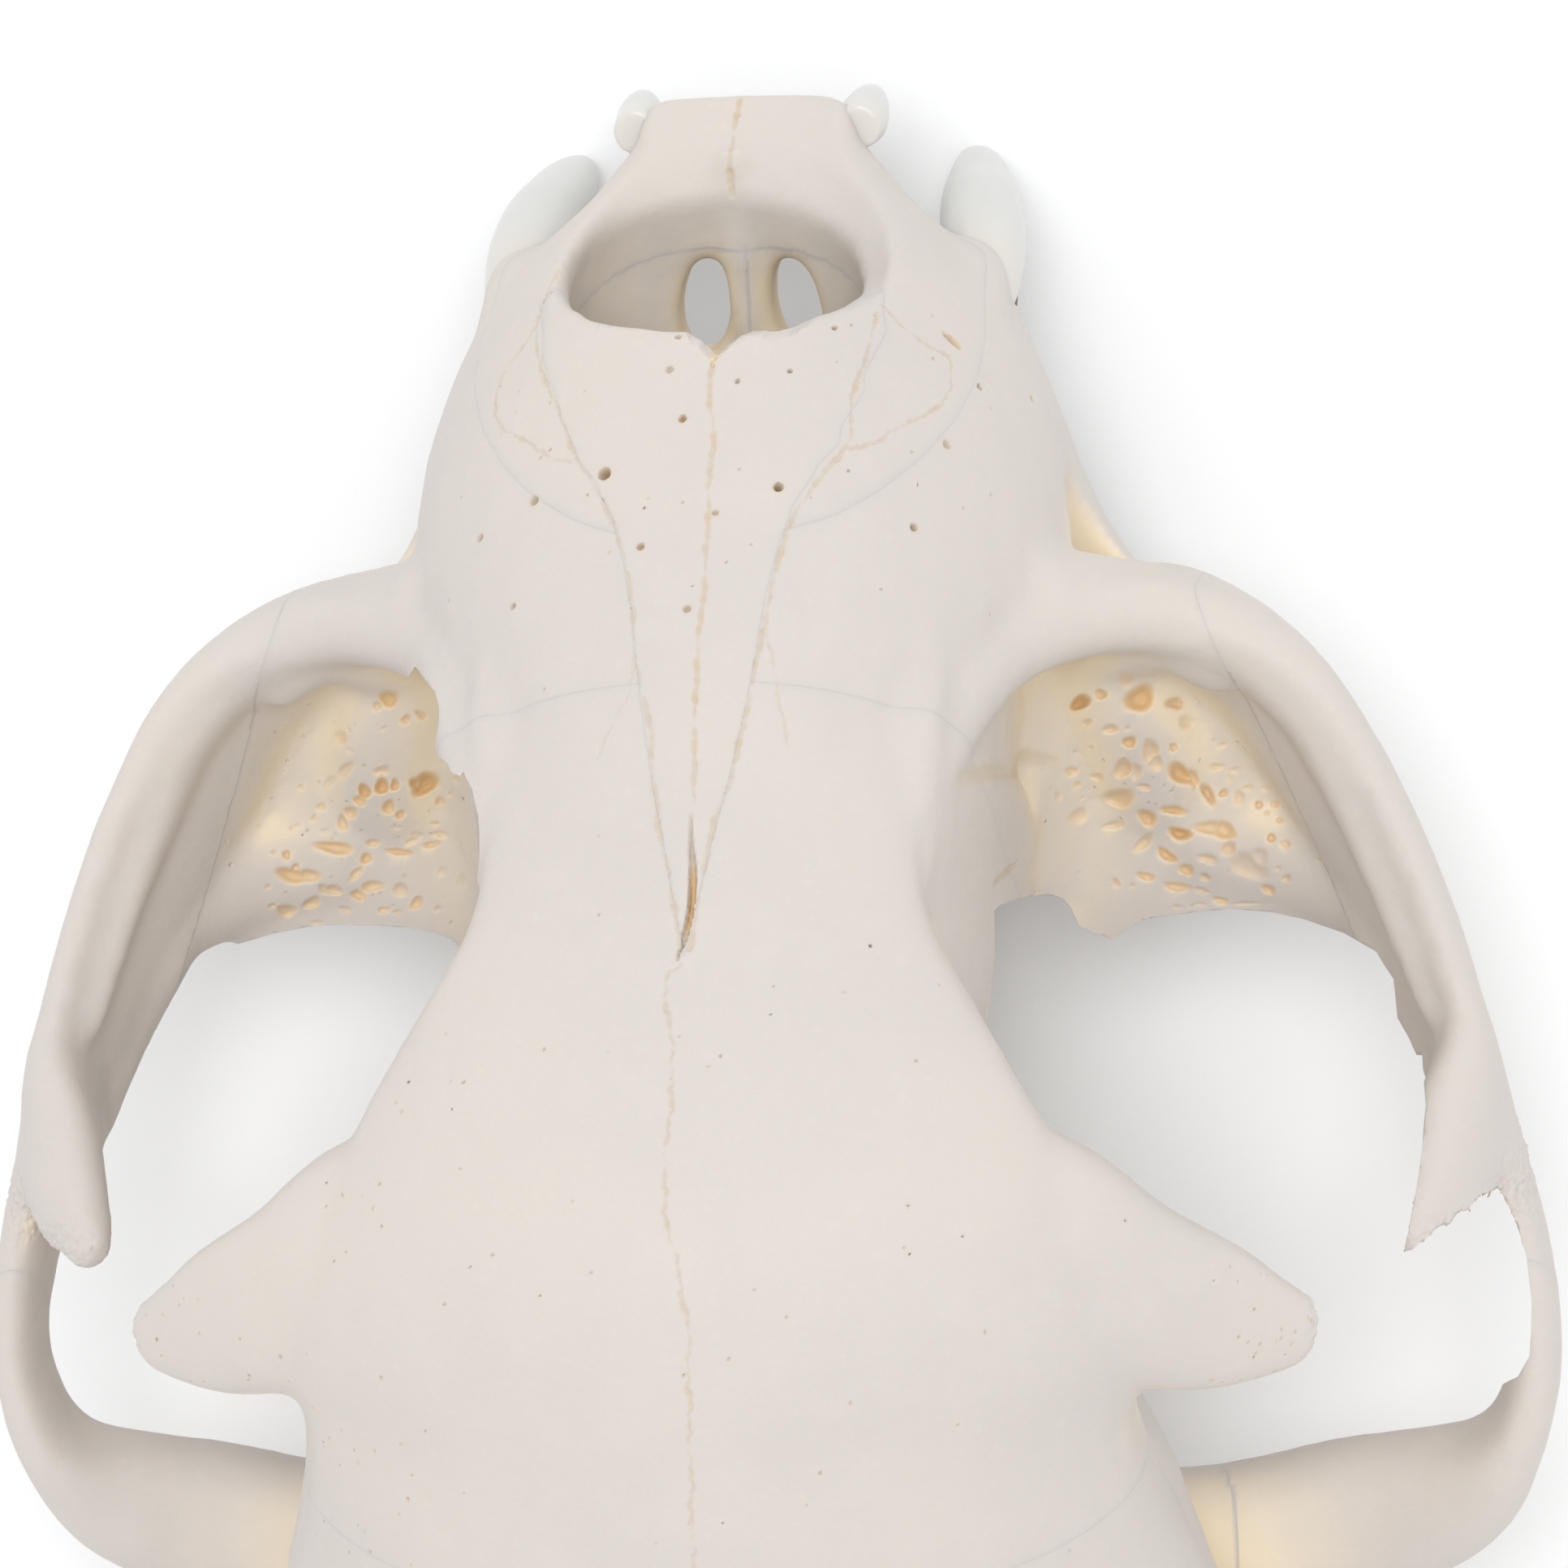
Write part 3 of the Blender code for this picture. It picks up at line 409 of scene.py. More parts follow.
FACE_PAIRS = {
    "canine_root": (swept_form, {"across": (0, 1, 0)}, [
        (9.2, 8.7, 1.4, 2.0, 2.1, 0), (9.2, 9.3, 4.5, 2.4, 2.1, 0), (9.1, 12.0, 9.0, 2.3, 2.0, 0),
        (8.0, 15.5, 12.6, 1.6, 1.5, 0),
    ]),
    "cheek": (lengthwise_form, {}, [
        (9.8, 2.0, 2.6, 3.4, 2.0, 9.2), (14.0, 2.3, 3.2, 5.0, 2.6, 10.6), (19.0, 2.7, 4.0, 6.6, 3.3, 12.2),
        (24.0, 3.9, 4.2, 6.0, 3.4, 14.4), (29.0, 3.7, 4.0, 4.0, 3.2, 16.2), (33.0, 2.6, 3.4, 2.4, 2.4, 16.6),
    ]),
    "orbit_floor": (lengthwise_form, {"squareness": 2.6, "rounding": 0.7}, [
        (20.6, 3.2, 8.2, 2.6, 3.6, 15.2), (23.5, 6.8, 6.4, 2.2, 3.4, 15.6), (27.5, 8.6, 5.2, 1.8, 2.8, 16.2),
        (31.5, 9.0, 4.8, 1.5, 2.2, 16.4), (35.2, 8.6, 4.8, 1.2, 1.5, 16.2), (38.0, 6.6, 4.6, 0.9, 1.1, 15.8),
    ]),
    "cheek_bar": (swept_form, {"across": (0, 0.5, 1)}, [
        (12.6, 19.6, 14.4, 2.0, 1.6, 0), (15.0, 20.4, 11.8, 2.0, 1.6, 0), (17.4, 21.4, 10.6, 2.2, 1.8, 0),
        (20.0, 23.2, 9.6, 2.4, 1.6, 0),
    ]),
    "orbit_wall": (swept_form, {"squareness": 4.0}, [
        (10.3, 23.4, 12.2, 5.6, 1.5, -9.5), (9.7, 25.4, 14.2, 7.8, 1.6, -9.5),
        (9.5, 27.6, 16.0, 10.0, 1.6, -9.5), (9.1, 31.0, 16.0, 10.4, 1.6, -9.5),
        (8.9, 34.6, 17.2, 8.2, 1.5, -8.0), (8.4, 38.5, 18.8, 6.2, 1.2, -5.0),
    ]),
    "wall_foot": (swept_form, {}, [
        (13.2, 21.6, 8.4, 2.8, 0.9, -45), (12.85, 24.4, 8.25, 2.8, 0.9, -45),
        (12.45, 27.0, 7.75, 2.7, 0.9, -45), (12.05, 30.5, 6.95, 2.5, 0.9, -45),
        (11.5, 34.5, 6.2, 2.2, 0.9, -45),
    ]),
    "orbit_rim": (rim_form, {"across": (0, 1, 0.2)}, [
        (7.8, 29.0, 25.6, 1.2, 1.3, 0), (8.6, 25.6, 23.6, 1.4, 1.2, 0), (9.8, 22.9, 19.8, 1.7, 1.5, 0),
        (11.9, 21.2, 15.6, 1.8, 1.7, 0), (16.2, 20.9, 12.4, 1.7, 1.8, 0), (20.4, 22.3, 11.2, 1.6, 1.9, 0),
        (23.6, 25.4, 11.4, 1.4, 1.7, 0), (25.6, 29.6, 11.8, 1.2, 1.2, 0), (27.2, 34.0, 12.4, 0.9, 0.8, 0),
        (28.4, 38.0, 13.0, 0.6, 0.5, 0),
    ]),
}

# Forms of the brow.

BROW = {
    "forehead": (lengthwise_form, {"steps": 48}, [
        (20.0, 7.8, 19.0, 6.2, 8.0), (24.0, 8.8, 23.0, 5.1, 8.0), (27.0, 8.8, 25.8, 4.4, 7.5),
        (30.0, 9.4, 28.0, 4.2, 7.0), (34.0, 11.9, 30.0, 4.7, 6.0), (38.0, 14.2, 31.0, 5.4, 6.0),
        (42.0, 16.2, 31.0, 6.9, 7.0), (46.0, 17.4, 30.4, 8.1, 8.5), (50.0, 17.0, 28.6, 9.9, 10.0),
        (54.0, 17.8, 26.4, 12.1, 12.0), (59.0, 19.2, 24.0, 13.9, 12.0), (65.0, 19.6, 22.0, 13.8, 12.0),
    ]),
    "orbit_walls": (lengthwise_form, {"squareness": 2.3}, [
        (18.0, 9.0, 13.0, 9.0, 9.0), (23.0, 9.6, 14.5, 11.0, 9.5), (27.0, 8.2, 16.5, 12.0, 11.0),
        (31.0, 8.8, 18.5, 12.0, 12.5), (35.5, 9.2, 19.5, 12.0, 13.0), (39.0, 8.4, 20.5, 13.0, 13.0),
        (45.0, 10.2, 21.5, 13.0, 12.8), (51.0, 14.6, 21.5, 14.0, 13.5),
    ]),
}
BROW_PAIRS = {
    "brow_process": (swept_form, {"across": (0, 1, 0), "rounding": 1.0}, [
        (9.0, 42.6, 29.6, 6.4, 3.4, 0), (13.6, 43.7, 30.2, 5.5, 3.6, 0), (17.0, 44.9, 29.8, 4.0, 2.8, 0),
        (20.6, 46.4, 28.3, 3.0, 1.9, 0), (23.2, 47.3, 26.9, 1.7, 1.35, 0),
    ]),
}

# Forms of the cheek arches.

ARCH_PAIRS = {
    "arch": (swept_form, {"steps": 60}, [
        (14.5, 22.6, 7.6, 3.2, 2.6, 0), (18.4, 22.2, 8.4, 4.7, 2.2, 10), (22.2, 24.4, 8.6, 4.9, 1.7, 18),
        (25.2, 29.0, 8.8, 5.0, 1.5, 18), (27.6, 34.5, 9.4, 4.9, 1.4, 17), (29.4, 39.5, 10.3, 4.6, 1.3, 13),
        (30.9, 44.5, 11.3, 3.6, 1.2, 8), (32.1, 49.0, 12.2, 2.9, 1.1, 4), (32.4, 53.0, 12.8, 2.7, 1.1, 0),
        (31.3, 56.8, 12.6, 2.8, 1.5, 0), (28.8, 59.3, 11.7, 2.5, 2.9, 0), (24.4, 60.8, 11.0, 2.2, 3.5, 0),
        (18.0, 61.6, 10.8, 2.4, 2.9, 0), (13.5, 61.4, 11.5, 2.6, 3.2, 0),
    ]),
    "arch_slope": (swept_form, {}, [
        (14.6, 22.4, 7.8, 2.4, 1.2, 14), (18.2, 23.2, 8.4, 3.2, 1.3, 26), (21.5, 25.3, 8.8, 3.7, 1.3, 34),
        (24.3, 29.4, 9.0, 3.8, 1.3, 36), (26.8, 34.4, 9.5, 3.4, 1.1, 33), (28.7, 39.2, 10.6, 2.6, 0.8, 26),
        (30.0, 43.6, 11.6, 1.6, 0.5, 14),
    ]),
    "cheek_process": (swept_form, {"across": (0, 1, 0.3), "rounding": 0.6}, [
        (29.7, 40.6, 11.5, 4.6, 1.3, 0), (29.7, 42.4, 14.4, 3.6, 1.7, 0), (28.9, 44.5, 16.9, 2.3, 1.5, 0),
        (27.7, 46.3, 18.7, 1.1, 0.9, 0),
    ]),
    "cheek_fillet": (swept_form, {"across": (1, 1, 0)}, [
        (18.0, 32.6, 5.2, 2.2, 1.4, 0), (22.4, 33.4, 5.6, 2.4, 1.5, 0), (26.2, 35.6, 6.6, 2.4, 1.7, 0),
        (28.6, 39.4, 8.2, 1.7, 1.9, 0), (29.8, 43.0, 10.2, 1.1, 1.8, 0),
    ]),
    "jaw_joint_ridge": (swept_form, {}, [
        (17.8, 62.6, 8.0, 3.0, 1.4, 0), (21.4, 62.6, 6.8, 3.6, 1.3, 0), (26.0, 61.4, 8.2, 2.8, 1.2, 0),
    ]),
}

# Forms of the braincase.

BRAINCASE = {
    "braincase": (lengthwise_form, {"steps": 44, "squareness": 2.1, "rounding": 1.5}, [
        (47.0, 13.6, 22.0, 14.6, 13.0), (51.0, 15.8, 22.0, 16.2, 14.0), (55.0, 17.7, 21.5, 16.8, 14.0),
        (60.0, 19.3, 21.0, 16.8, 13.6), (65.0, 21.1, 20.5, 15.6, 13.0), (70.0, 22.0, 19.8, 14.6, 12.6),
        (77.0, 19.6, 18.5, 12.8, 11.6), (82.0, 16.5, 17.5, 11.0, 10.6), (85.0, 13.0, 16.8, 9.4, 9.4),
    ]),
    "skull_base": (lengthwise_form, {"squareness": 2.6}, [
        (33.0, 5.0, 9.0, 3.0, 1.7), (42.0, 5.4, 9.0, 3.0, 1.7), (52.0, 7.0, 9.0, 3.0, 1.8),
        (62.0, 7.6, 9.0, 3.0, 2.8), (72.0, 7.6, 8.8, 3.0, 3.0), (80.0, 8.4, 7.4, 3.0, 2.6),
        (86.0, 6.4, 6.0, 2.6, 1.8),
    ]),
    "nape_plate": (lengthwise_form, {"rounding": 0.5}, [
        (78.0, 17.6, 15.0, 14.0, 8.6), (82.0, 16.6, 14.6, 13.0, 8.8), (85.0, 14.4, 14.0, 11.4, 8.6),
        (87.0, 12.0, 13.8, 10.6, 8.0),
    ]),
}
BRAINCASE_PAIRS = {
    "nape_crest": (swept_form, {"across": (0, 0.3, 1)}, [
        (18.0, 74.0, 8.0, 1.9, 1.6, 0), (17.5, 78.0, 12.6, 1.7, 1.4, 0), (14.8, 81.8, 18.6, 1.7, 1.4, 0),
        (9.8, 85.0, 22.4, 1.8, 1.5, 0), (4.4, 87.0, 23.8, 2.1, 1.8, 0), (-0.8, 87.4, 24.2, 2.3, 1.9, 0),
    ]),
    "condyle": (swept_form, {"across": (0, 1, 0)}, [
        (2.6, 86.4, 4.8, 1.7, 1.9, 0), (5.4, 87.4, 5.8, 2.2, 2.2, 0), (7.4, 87.4, 8.6, 2.4, 2.2, 0),
        (7.2, 86.0, 12.0, 1.9, 1.9, 0),
    ]),
    "ear_capsule": (egg_form, {"radii": (6.2, 9.0, 6.3), "yaw": -14, "pitch": 2}, (11.6, 69.6, 3.3)),
    "ear_ring": (egg_form, {"radii": (3.2, 4.0, 4.0)}, (17.4, 69.2, 7.2)),
    "jugular_process": (swept_form, {"across": (1, 0, 0)}, [
        (15.8, 80.6, 10.0, 2.8, 2.2, 0), (15.4, 81.6, 5.4, 2.4, 1.6, 0), (14.6, 82.2, 1.4, 1.3, 1.0, 0),
    ]),
    "wing_plate": (swept_form, {"rounding": 0.4}, [
        (7.5, 33.4, 5.2, 4.4, 1.2, 0), (7.2, 37.0, 6.2, 4.8, 1.2, 0), (6.3, 41.0, 5.8, 4.4, 0.9, 0),
        (5.5, 46.0, 5.0, 3.8, 0.75, 0), (5.3, 50.0, 3.4, 2.2, 0.7, 0), (5.6, 52.2, 2.0, 0.8, 0.6, 0),
    ]),
}

# Hollows taken out of the fused bone.

HOLLOWS = {
    "nose_hollow": (lengthwise_form, {"squareness": 2.2}, [
        (5.0, 5.4, 9.2, 6.4, 4.8, 0.6), (8.0, 6.2, 9.4, 6.4, 5.8, 0.6), (13.0, 7.0, 10.4, 8.0, 7.0, 0.2),
        (19.0, 6.6, 13.0, 10.2, 9.4, 0.0), (25.0, 5.0, 17.0, 10.6, 12.0, 0.0),
        (30.0, 3.4, 22.0, 8.8, 9.0, 0.0),
    ]),
    "throat_hollow": (lengthwise_form, {"squareness": 2.8}, [
        (22.0, 4.4, 6.4, 2.6, 2.4), (30.0, 4.4, 5.6, 2.2, 2.2), (34.8, 4.6, 5.0, 2.6, 2.0),
        (38.0, 4.9, 4.0, 3.4, 6.0), (46.0, 4.4, 2.0, 5.4, 8.0), (56.0, 4.4, 0.0, 6.8, 9.0),
    ]),
    "brain_hollow": (lengthwise_form, {}, [
        (69.0, 6.0, 14.4, 5.0, 5.0), (74.0, 8.2, 14.2, 6.4, 6.2), (80.0, 7.6, 13.0, 5.8, 5.8),
        (85.0, 6.3, 11.6, 4.8, 4.7), (92.0, 6.5, 9.8, 5.0, 4.7),
    ]),
    "nose_front": (lengthwise_form, {"squareness": 3.0}, [
        (-3.0, 16.0, 16.0, 14.0, 17.6), (0.8, 11.0, 16.0, 14.0, 14.6), (2.0, 9.8, 16.0, 14.0, 13.2),
        (3.2, 8.8, 16.0, 14.0, 12.1), (4.4, 8.0, 16.0, 12.0, 11.4), (5.8, 7.4, 16.0, 9.0, 10.2),
        (7.0, 7.0, 15.5, 6.0, 7.5),
    ]),
}
HOLLOW_PAIRS = {
    "palate_fissure": (egg_form, {"radii": (1.1, 2.3, 4.0), "yaw": -8}, (2.0, 9.4, 2.0)),
    "cheek_canal": (egg_form, {"radii": (1.7, 5.0, 2.2), "yaw": -6}, (14.6, 20.6, 7.6)),
    "ear_canal": (egg_form, {"radii": (5.0, 2.3, 2.4)}, (19.0, 69.2, 7.2)),
    "jaw_joint": (swept_form, {"across": (0, 1, 0)}, [
        (16.5, 59.4, 6.4, 2.4, 2.4, 0), (21.0, 59.2, 5.8, 2.6, 2.6, 0), (30.0, 57.4, 6.8, 2.4, 2.4, 0),
    ]),
}

# Which rows of a form follow a size that can be changed: the size, the value at which they are drawn, the
# column that follows it, and the range of rows.
FOLLOWING = {
    "brow_process": ("brow_spread", 48.6, 0, range(5)),
    "arch": ("arch_spread", 66.8, 0, range(2, 11)),
    "arch_slope": ("arch_spread", 66.8, 0, range(2, 7)),
    "cheek_process": ("arch_spread", 66.8, 0, range(4)),
    "cheek_fillet": ("arch_spread", 66.8, 0, range(2, 5)),
    "braincase": ("braincase_width", 44.0, 1, range(5, 6)),
    "nose_hollow": ("nose_width", 14.0, 1, range(4)),
}

# The bar on the floor of the nose, between the two fissures of the palate.
NOSE_BAR = [
    (0.4, 3.2, 3.9, 0.85, 0.6, 0), (0.35, 6.0, 3.7, 0.8, 0.7, 0), (0.2, 9.0, 3.3, 0.75, 0.8, 0),
    (0.0, 13.0, 2.9, 0.6, 0.9, 0),
]


def sized(name, rows, sizes):
    """The rows of a form, with those that follow a size that can be changed drawn to it."""
    if name not in FOLLOWING:
        return rows
    size, drawn, column, followers = FOLLOWING[name]
    factor = getattr(sizes, size) / MM / drawn
    return [
        tuple(value * factor if k in followers and c == column else value for c, value in enumerate(row))
        for k, row in enumerate(rows)
    ]


def forms_of(middle, paired, sizes):
    """The forms of a table on the midline and of a table of pairs."""
    forms = [maker(name, sized(name, rows, sizes), **shape) for name, (maker, shape, rows) in middle.items()]
    for suffix, side in SIDES:
        for name, (maker, shape, rows) in paired.items():
            forms.append(maker(f"{name}_{suffix}", sized(name, rows, sizes), side=side, **shape))
    return forms


def whole_bone(sizes):
    """All the forms fused into one bone, with its hollows, in the skull's frame in millimetres."""
    grain = sizes.grain / MM
    forms = []
    for tables in ((FACE, FACE_PAIRS), (BROW, BROW_PAIRS), ({}, ARCH_PAIRS), (BRAINCASE, BRAINCASE_PAIRS)):
        forms += forms_of(*tables, sizes)
    bone = fused(joined("bone", forms), grain)
    hollows = fused(joined("hollows", forms_of(HOLLOWS, HOLLOW_PAIRS, sizes)), grain)
    combined(bone, hollows, "DIFFERENCE")
    combined(bone, swept_form("nose_bar", NOSE_BAR, across=(1, 0, 0)), "UNION")
    return smoothed(fused(bone, grain), sizes.softening)


# Geometry node trees: what repeats in the bone and what follows its surface. Lengths are in millimetres.

SHELTER_RAYS = 20
SHELTER_REACH = 14.0
SHELTER_LIFT = 0.12
STAIN_REACH = 1.9
ROUGH_HEIGHT = 0.3


def node(tree, kind, inputs=None, **settings):
    """A node with its settings, and with each input linked to a socket or set to a value."""
    made = tree.nodes.new(kind)
    for name, value in settings.items():
        setattr(made, name, value)
    for key, value in (inputs or {}).items():
        if isinstance(value, bpy.types.NodeSocket):
            tree.links.new(value, made.inputs[key])
        else:
            made.inputs[key].default_value = value
    return made


def maths(tree, operation, first, second):
    return node(tree, "ShaderNodeMath", {0: first, 1: second}, operation=operation).outputs[0]


def product(tree, first, *others):
    for other in others:
        first = maths(tree, "MULTIPLY", first, other)
    return first


def ramp(tree, value, low, high, bottom=0.0, top=1.0):
    """A smooth step of the value, from bottom at low to top at high."""
    ends = {"Value": value, "From Min": low, "From Max": high, "To Min": bottom, "To Max": top}
    return node(tree, "ShaderNodeMapRange", ends, interpolation_type="SMOOTHSTEP").outputs[0]


def vector_sum(tree, first, second):
    return node(tree, "ShaderNodeVectorMath", {0: first, 1: second}, operation="ADD").outputs["Vector"]


def vector_scaled(tree, vector, scale):
    return node(tree, "ShaderNodeVectorMath", {0: vector, "Scale": scale}, operation="SCALE").outputs["Vector"]


def noise_of(tree, vector, scale, detail=2.0, roughness=0.5):
    inputs = {"Vector": vector, "Scale": scale, "Detail": detail, "Roughness": roughness}
    return node(tree, "ShaderNodeTexNoise", inputs).outputs[0]


def geometry_tree(name, sizes):
    """A new tree whose inputs are a geometry and the named sizes, each a socket kind and a default."""
    tree = bpy.data.node_groups.new(name, "GeometryNodeTree")
    tree.interface.new_socket("Geometry", in_out="INPUT", socket_type="NodeSocketGeometry")
    for label, (kind, value) in sizes.items():
        socket = tree.interface.new_socket(label, in_out="INPUT", socket_type=f"NodeSocket{kind}")
        if value is not None:
            socket.default_value = value
    tree.interface.new_socket("Geometry", in_out="OUTPUT", socket_type="NodeSocketGeometry")
    return tree, tree.nodes.new("NodeGroupInput").outputs


def end_tree(tree, geometry, material):
    real = node(tree, "GeometryNodeRealizeInstances", {"Geometry": geometry})
    dressed = node(tree, "GeometryNodeSetMaterial", {"Geometry": real.outputs[0], "Material": material})
    node(tree, "NodeGroupOutput", {"Geometry": dressed.outputs[0]})
    return tree


def run_tree(obj, tree, values):
    """The object with the tree's result as its mesh. Inputs are set by their sockets' identifiers."""
    grown = obj.modifiers.new(tree.name, "NODES")
    grown.node_group = tree
    for item in tree.interface.items_tree:
        if item.in_out == "INPUT" and item.name in values:
            grown[item.identifier] = values[item.name]
    return applied(obj)


def stored(tree, geometry, name, value):
    inputs = {"Geometry": geometry, "Name": name, "Value": value}
    made = node(tree, "GeometryNodeStoreNamedAttribute", inputs, data_type="FLOAT", domain="POINT")
    return made.outputs["Geometry"]


def named(tree, name):
    return node(tree, "GeometryNodeInputNamedAttribute", {"Name": name}, data_type="FLOAT").outputs["Attribute"]


def even_directions(count):
    """Unit directions spread evenly over a ball."""
    turn = math.pi * (3 - math.sqrt(5))
    for k in range(count):
        z = 1 - (2 * k + 1) / count
        flat = math.sqrt(1 - z * z)
        yield (flat * math.cos(turn * k), flat * math.sin(turn * k), z)


def shelter_tree():
    """Stores the shelter of each point: the share of rays over its open side that soon meet bone. The bone
    material paints warm light into the hollows by it.
    """
    tree, given = geometry_tree(
        "shelter of the bone",
        {"Reach": ("Float", SHELTER_REACH), "Lift": ("Float", SHELTER_LIFT), "Material": ("Material", None)},
    )
    normal = node(tree, "GeometryNodeInputNormal").outputs[0]
    place = node(tree, "GeometryNodeInputPosition").outputs[0]
    rays = {
        "Target Geometry": given["Geometry"],
        "Source Position": vector_sum(tree, place, vector_scaled(tree, normal, given["Lift"])),
        "Ray Length": given["Reach"],
    }
    total = None
    for direction in even_directions(SHELTER_RAYS):
        ray = node(tree, "GeometryNodeRaycast", {**rays, "Ray Direction": vector_sum(tree, normal, direction)})
        far = maths(tree, "DIVIDE", ray.outputs["Hit Distance"], given["Reach"])
        met = maths(tree, "MULTIPLY", maths(tree, "SUBTRACT", 1.0, far), ray.outputs["Is Hit"])
        total = met if total is None else maths(tree, "ADD", total, met)
    found = maths(tree, "DIVIDE", total, float(SHELTER_RAYS))
    even = node(tree, "GeometryNodeBlurAttribute", {"Value": found, "Iterations": 3}, data_type="FLOAT")
    return end_tree(tree, stored(tree, given["Geometry"], "shelter", even.outputs[0]), given["Material"])


def marks_tree():
    """Sinks every mark, a point with a radius and a depth, into the bone, and stores its stain round it."""
    tree, given = geometry_tree(
        "marks in the bone",
        {
            "Marks": ("Object", None),
            "Stain Reach": ("Float", STAIN_REACH),
            "Lumps": ("Float", 0.07),
            "Roughness": ("Float", ROUGH_HEIGHT),
            "Material": ("Material", None),
        },
    )
    normal = node(tree, "GeometryNodeInputNormal").outputs[0]
    place = node(tree, "GeometryNodeInputPosition").outputs[0]
    marks = node(tree, "GeometryNodeObjectInfo", {"Object": given["Marks"]}).outputs["Geometry"]
    search = {"Geometry": marks, "Sample Position": place}
    nearest = node(tree, "GeometryNodeSampleNearest", search, domain="POINT")

    def of_mark(value, kind="FLOAT"):
        inputs = {"Geometry": marks, "Value": value, "Index": nearest.outputs["Index"]}
        return node(tree, "GeometryNodeSampleIndex", inputs, data_type=kind, domain="POINT").outputs[0]

    ends = {0: place, 1: of_mark(place, "FLOAT_VECTOR")}
    away = node(tree, "ShaderNodeVectorMath", ends, operation="DISTANCE").outputs["Value"]
    radius = of_mark(named(tree, "radius"))
    depth = of_mark(named(tree, "depth"))
    cut = ramp(tree, away, radius, product(tree, radius, 0.35))
    round_it = ramp(tree, away, product(tree, radius, given["Stain Reach"]), product(tree, radius, 0.5))
    # The slow unevenness of the bone, and the rough ends of its processes.
    slow = maths(tree, "SUBTRACT", noise_of(tree, place, 0.3, detail=1.0), 0.5)
    fine = maths(tree, "SUBTRACT", noise_of(tree, place, 1.1, detail=1.0), 0.5)
    uneven = maths(tree, "ADD", slow, product(tree, fine, 0.3))
    grit = maths(tree, "SUBTRACT", noise_of(tree, place, 2.4, detail=2.0, roughness=0.6), 0.56)
    grit = product(tree, grit, 2.0, given["Roughness"], named(tree, "rough"))
    raised = maths(tree, "ADD", product(tree, uneven, 2.0, given["Lumps"]), grit)
    sunk = maths(tree, "SUBTRACT", raised, product(tree, cut, depth))
    marked = stored(tree, given["Geometry"], "stain", product(tree, round_it, of_mark(named(tree, "stain"))))
    # The hollow value grows with a mark's depth inside it; by it the bone material paints shade into openings,
    # pores and the slit.
    marked = stored(tree, marked, "hollow", product(tree, cut, ramp(tree, depth, 0.15, 0.6)))
    marked = stored(tree, marked, "speck", product(tree, cut, of_mark(named(tree, "speck"))))
    moved = {"Geometry": marked, "Offset": vector_scaled(tree, normal, sunk)}
    return end_tree(tree, node(tree, "GeometryNodeSetPosition", moved).outputs[0], given["Material"])


# Finer faces where the carving needs them.

# How far a new point is lifted towards the surface that the normals at its edge's ends ask for, and how
# often the edges that have to be split too are looked for.
NEW_POINT_LIFT = 0.375
SPLIT_ROUNDS = 40


def mesh_from_arrays(name, points, triangles, values):
    mesh = bpy.data.meshes.new(name)
    mesh.from_pydata(points.tolist(), [], triangles.tolist())
    write_values(mesh, values)
    return mesh


def point_normals(points, triangles):
    a, b, c = (points[triangles[:, k]] for k in range(3))
    faces = np.repeat(np.cross(b - a, c - a), 3, axis=0)
    corners = triangles.ravel()
    normals = np.stack([np.bincount(corners, faces[:, k], len(points)) for k in range(3)], axis=1)
    return normals / np.maximum(np.linalg.norm(normals, axis=1), 1e-12)[:, None]


def split_near(points, triangles, near):
    """Each triangle with a near corner split in four, and its neighbours split to meet it. A new point
    stands where the normals at the ends of its edge would have the surface."""
    count = len(points)
    corners = np.sort(triangles[:, [0, 1, 1, 2, 2, 0]].reshape(-1, 3, 2), axis=2)
    keys, edge_of = np.unique(corners[..., 0] * count + corners[..., 1], return_inverse=True)
    edge_of = edge_of.reshape(-1, 3)
    split = np.zeros(len(keys), bool)
    split[edge_of[near[triangles].any(axis=1)]] = True
    for _ in range(SPLIT_ROUNDS):
        two = split[edge_of].sum(axis=1) == 2
        if not two.any():
            break
        split[edge_of[two]] = True
    number = count + np.cumsum(split) - 1
    ends = np.stack([keys // count, keys % count], axis=1)[split]
    middle = points[ends].mean(axis=1)
    normals = point_normals(points, triangles)
    lift = np.zeros_like(middle)
    for k in range(2):
        normal = normals[ends[:, k]]
        lift -= NEW_POINT_LIFT * ((middle - points[ends[:, k]]) * normal).sum(axis=1)[:, None] * normal
    cut = split[edge_of]
    kept = triangles[~cut.any(axis=1)]
    once = cut.sum(axis=1) == 1
    first = cut[once].argmax(axis=1)
    turned = np.stack([triangles[once][np.arange(len(first)), (first + k) % 3] for k in range(3)], axis=1)
    m = number[edge_of[once][np.arange(len(first)), first]]
    a, b, c = turned.T
    halves = [np.stack([a, m, c], axis=1), np.stack([m, b, c], axis=1)]
    whole = cut.all(axis=1)
    a, b, c = triangles[whole].T
    m, n, o = number[edge_of[whole]].T
    quarters = [np.stack(t, axis=1) for t in ((a, m, o), (m, b, n), (o, n, c), (m, n, o))]
    return np.vstack([points, middle + lift]), np.vstack([kept, *halves, *quarters])


# Sutures, small openings and specks, drawn on the skull's surface. Each suture is its width and depth as
# shares of the usual ones, how far it sways, how strong its stain is, and the points it passes.

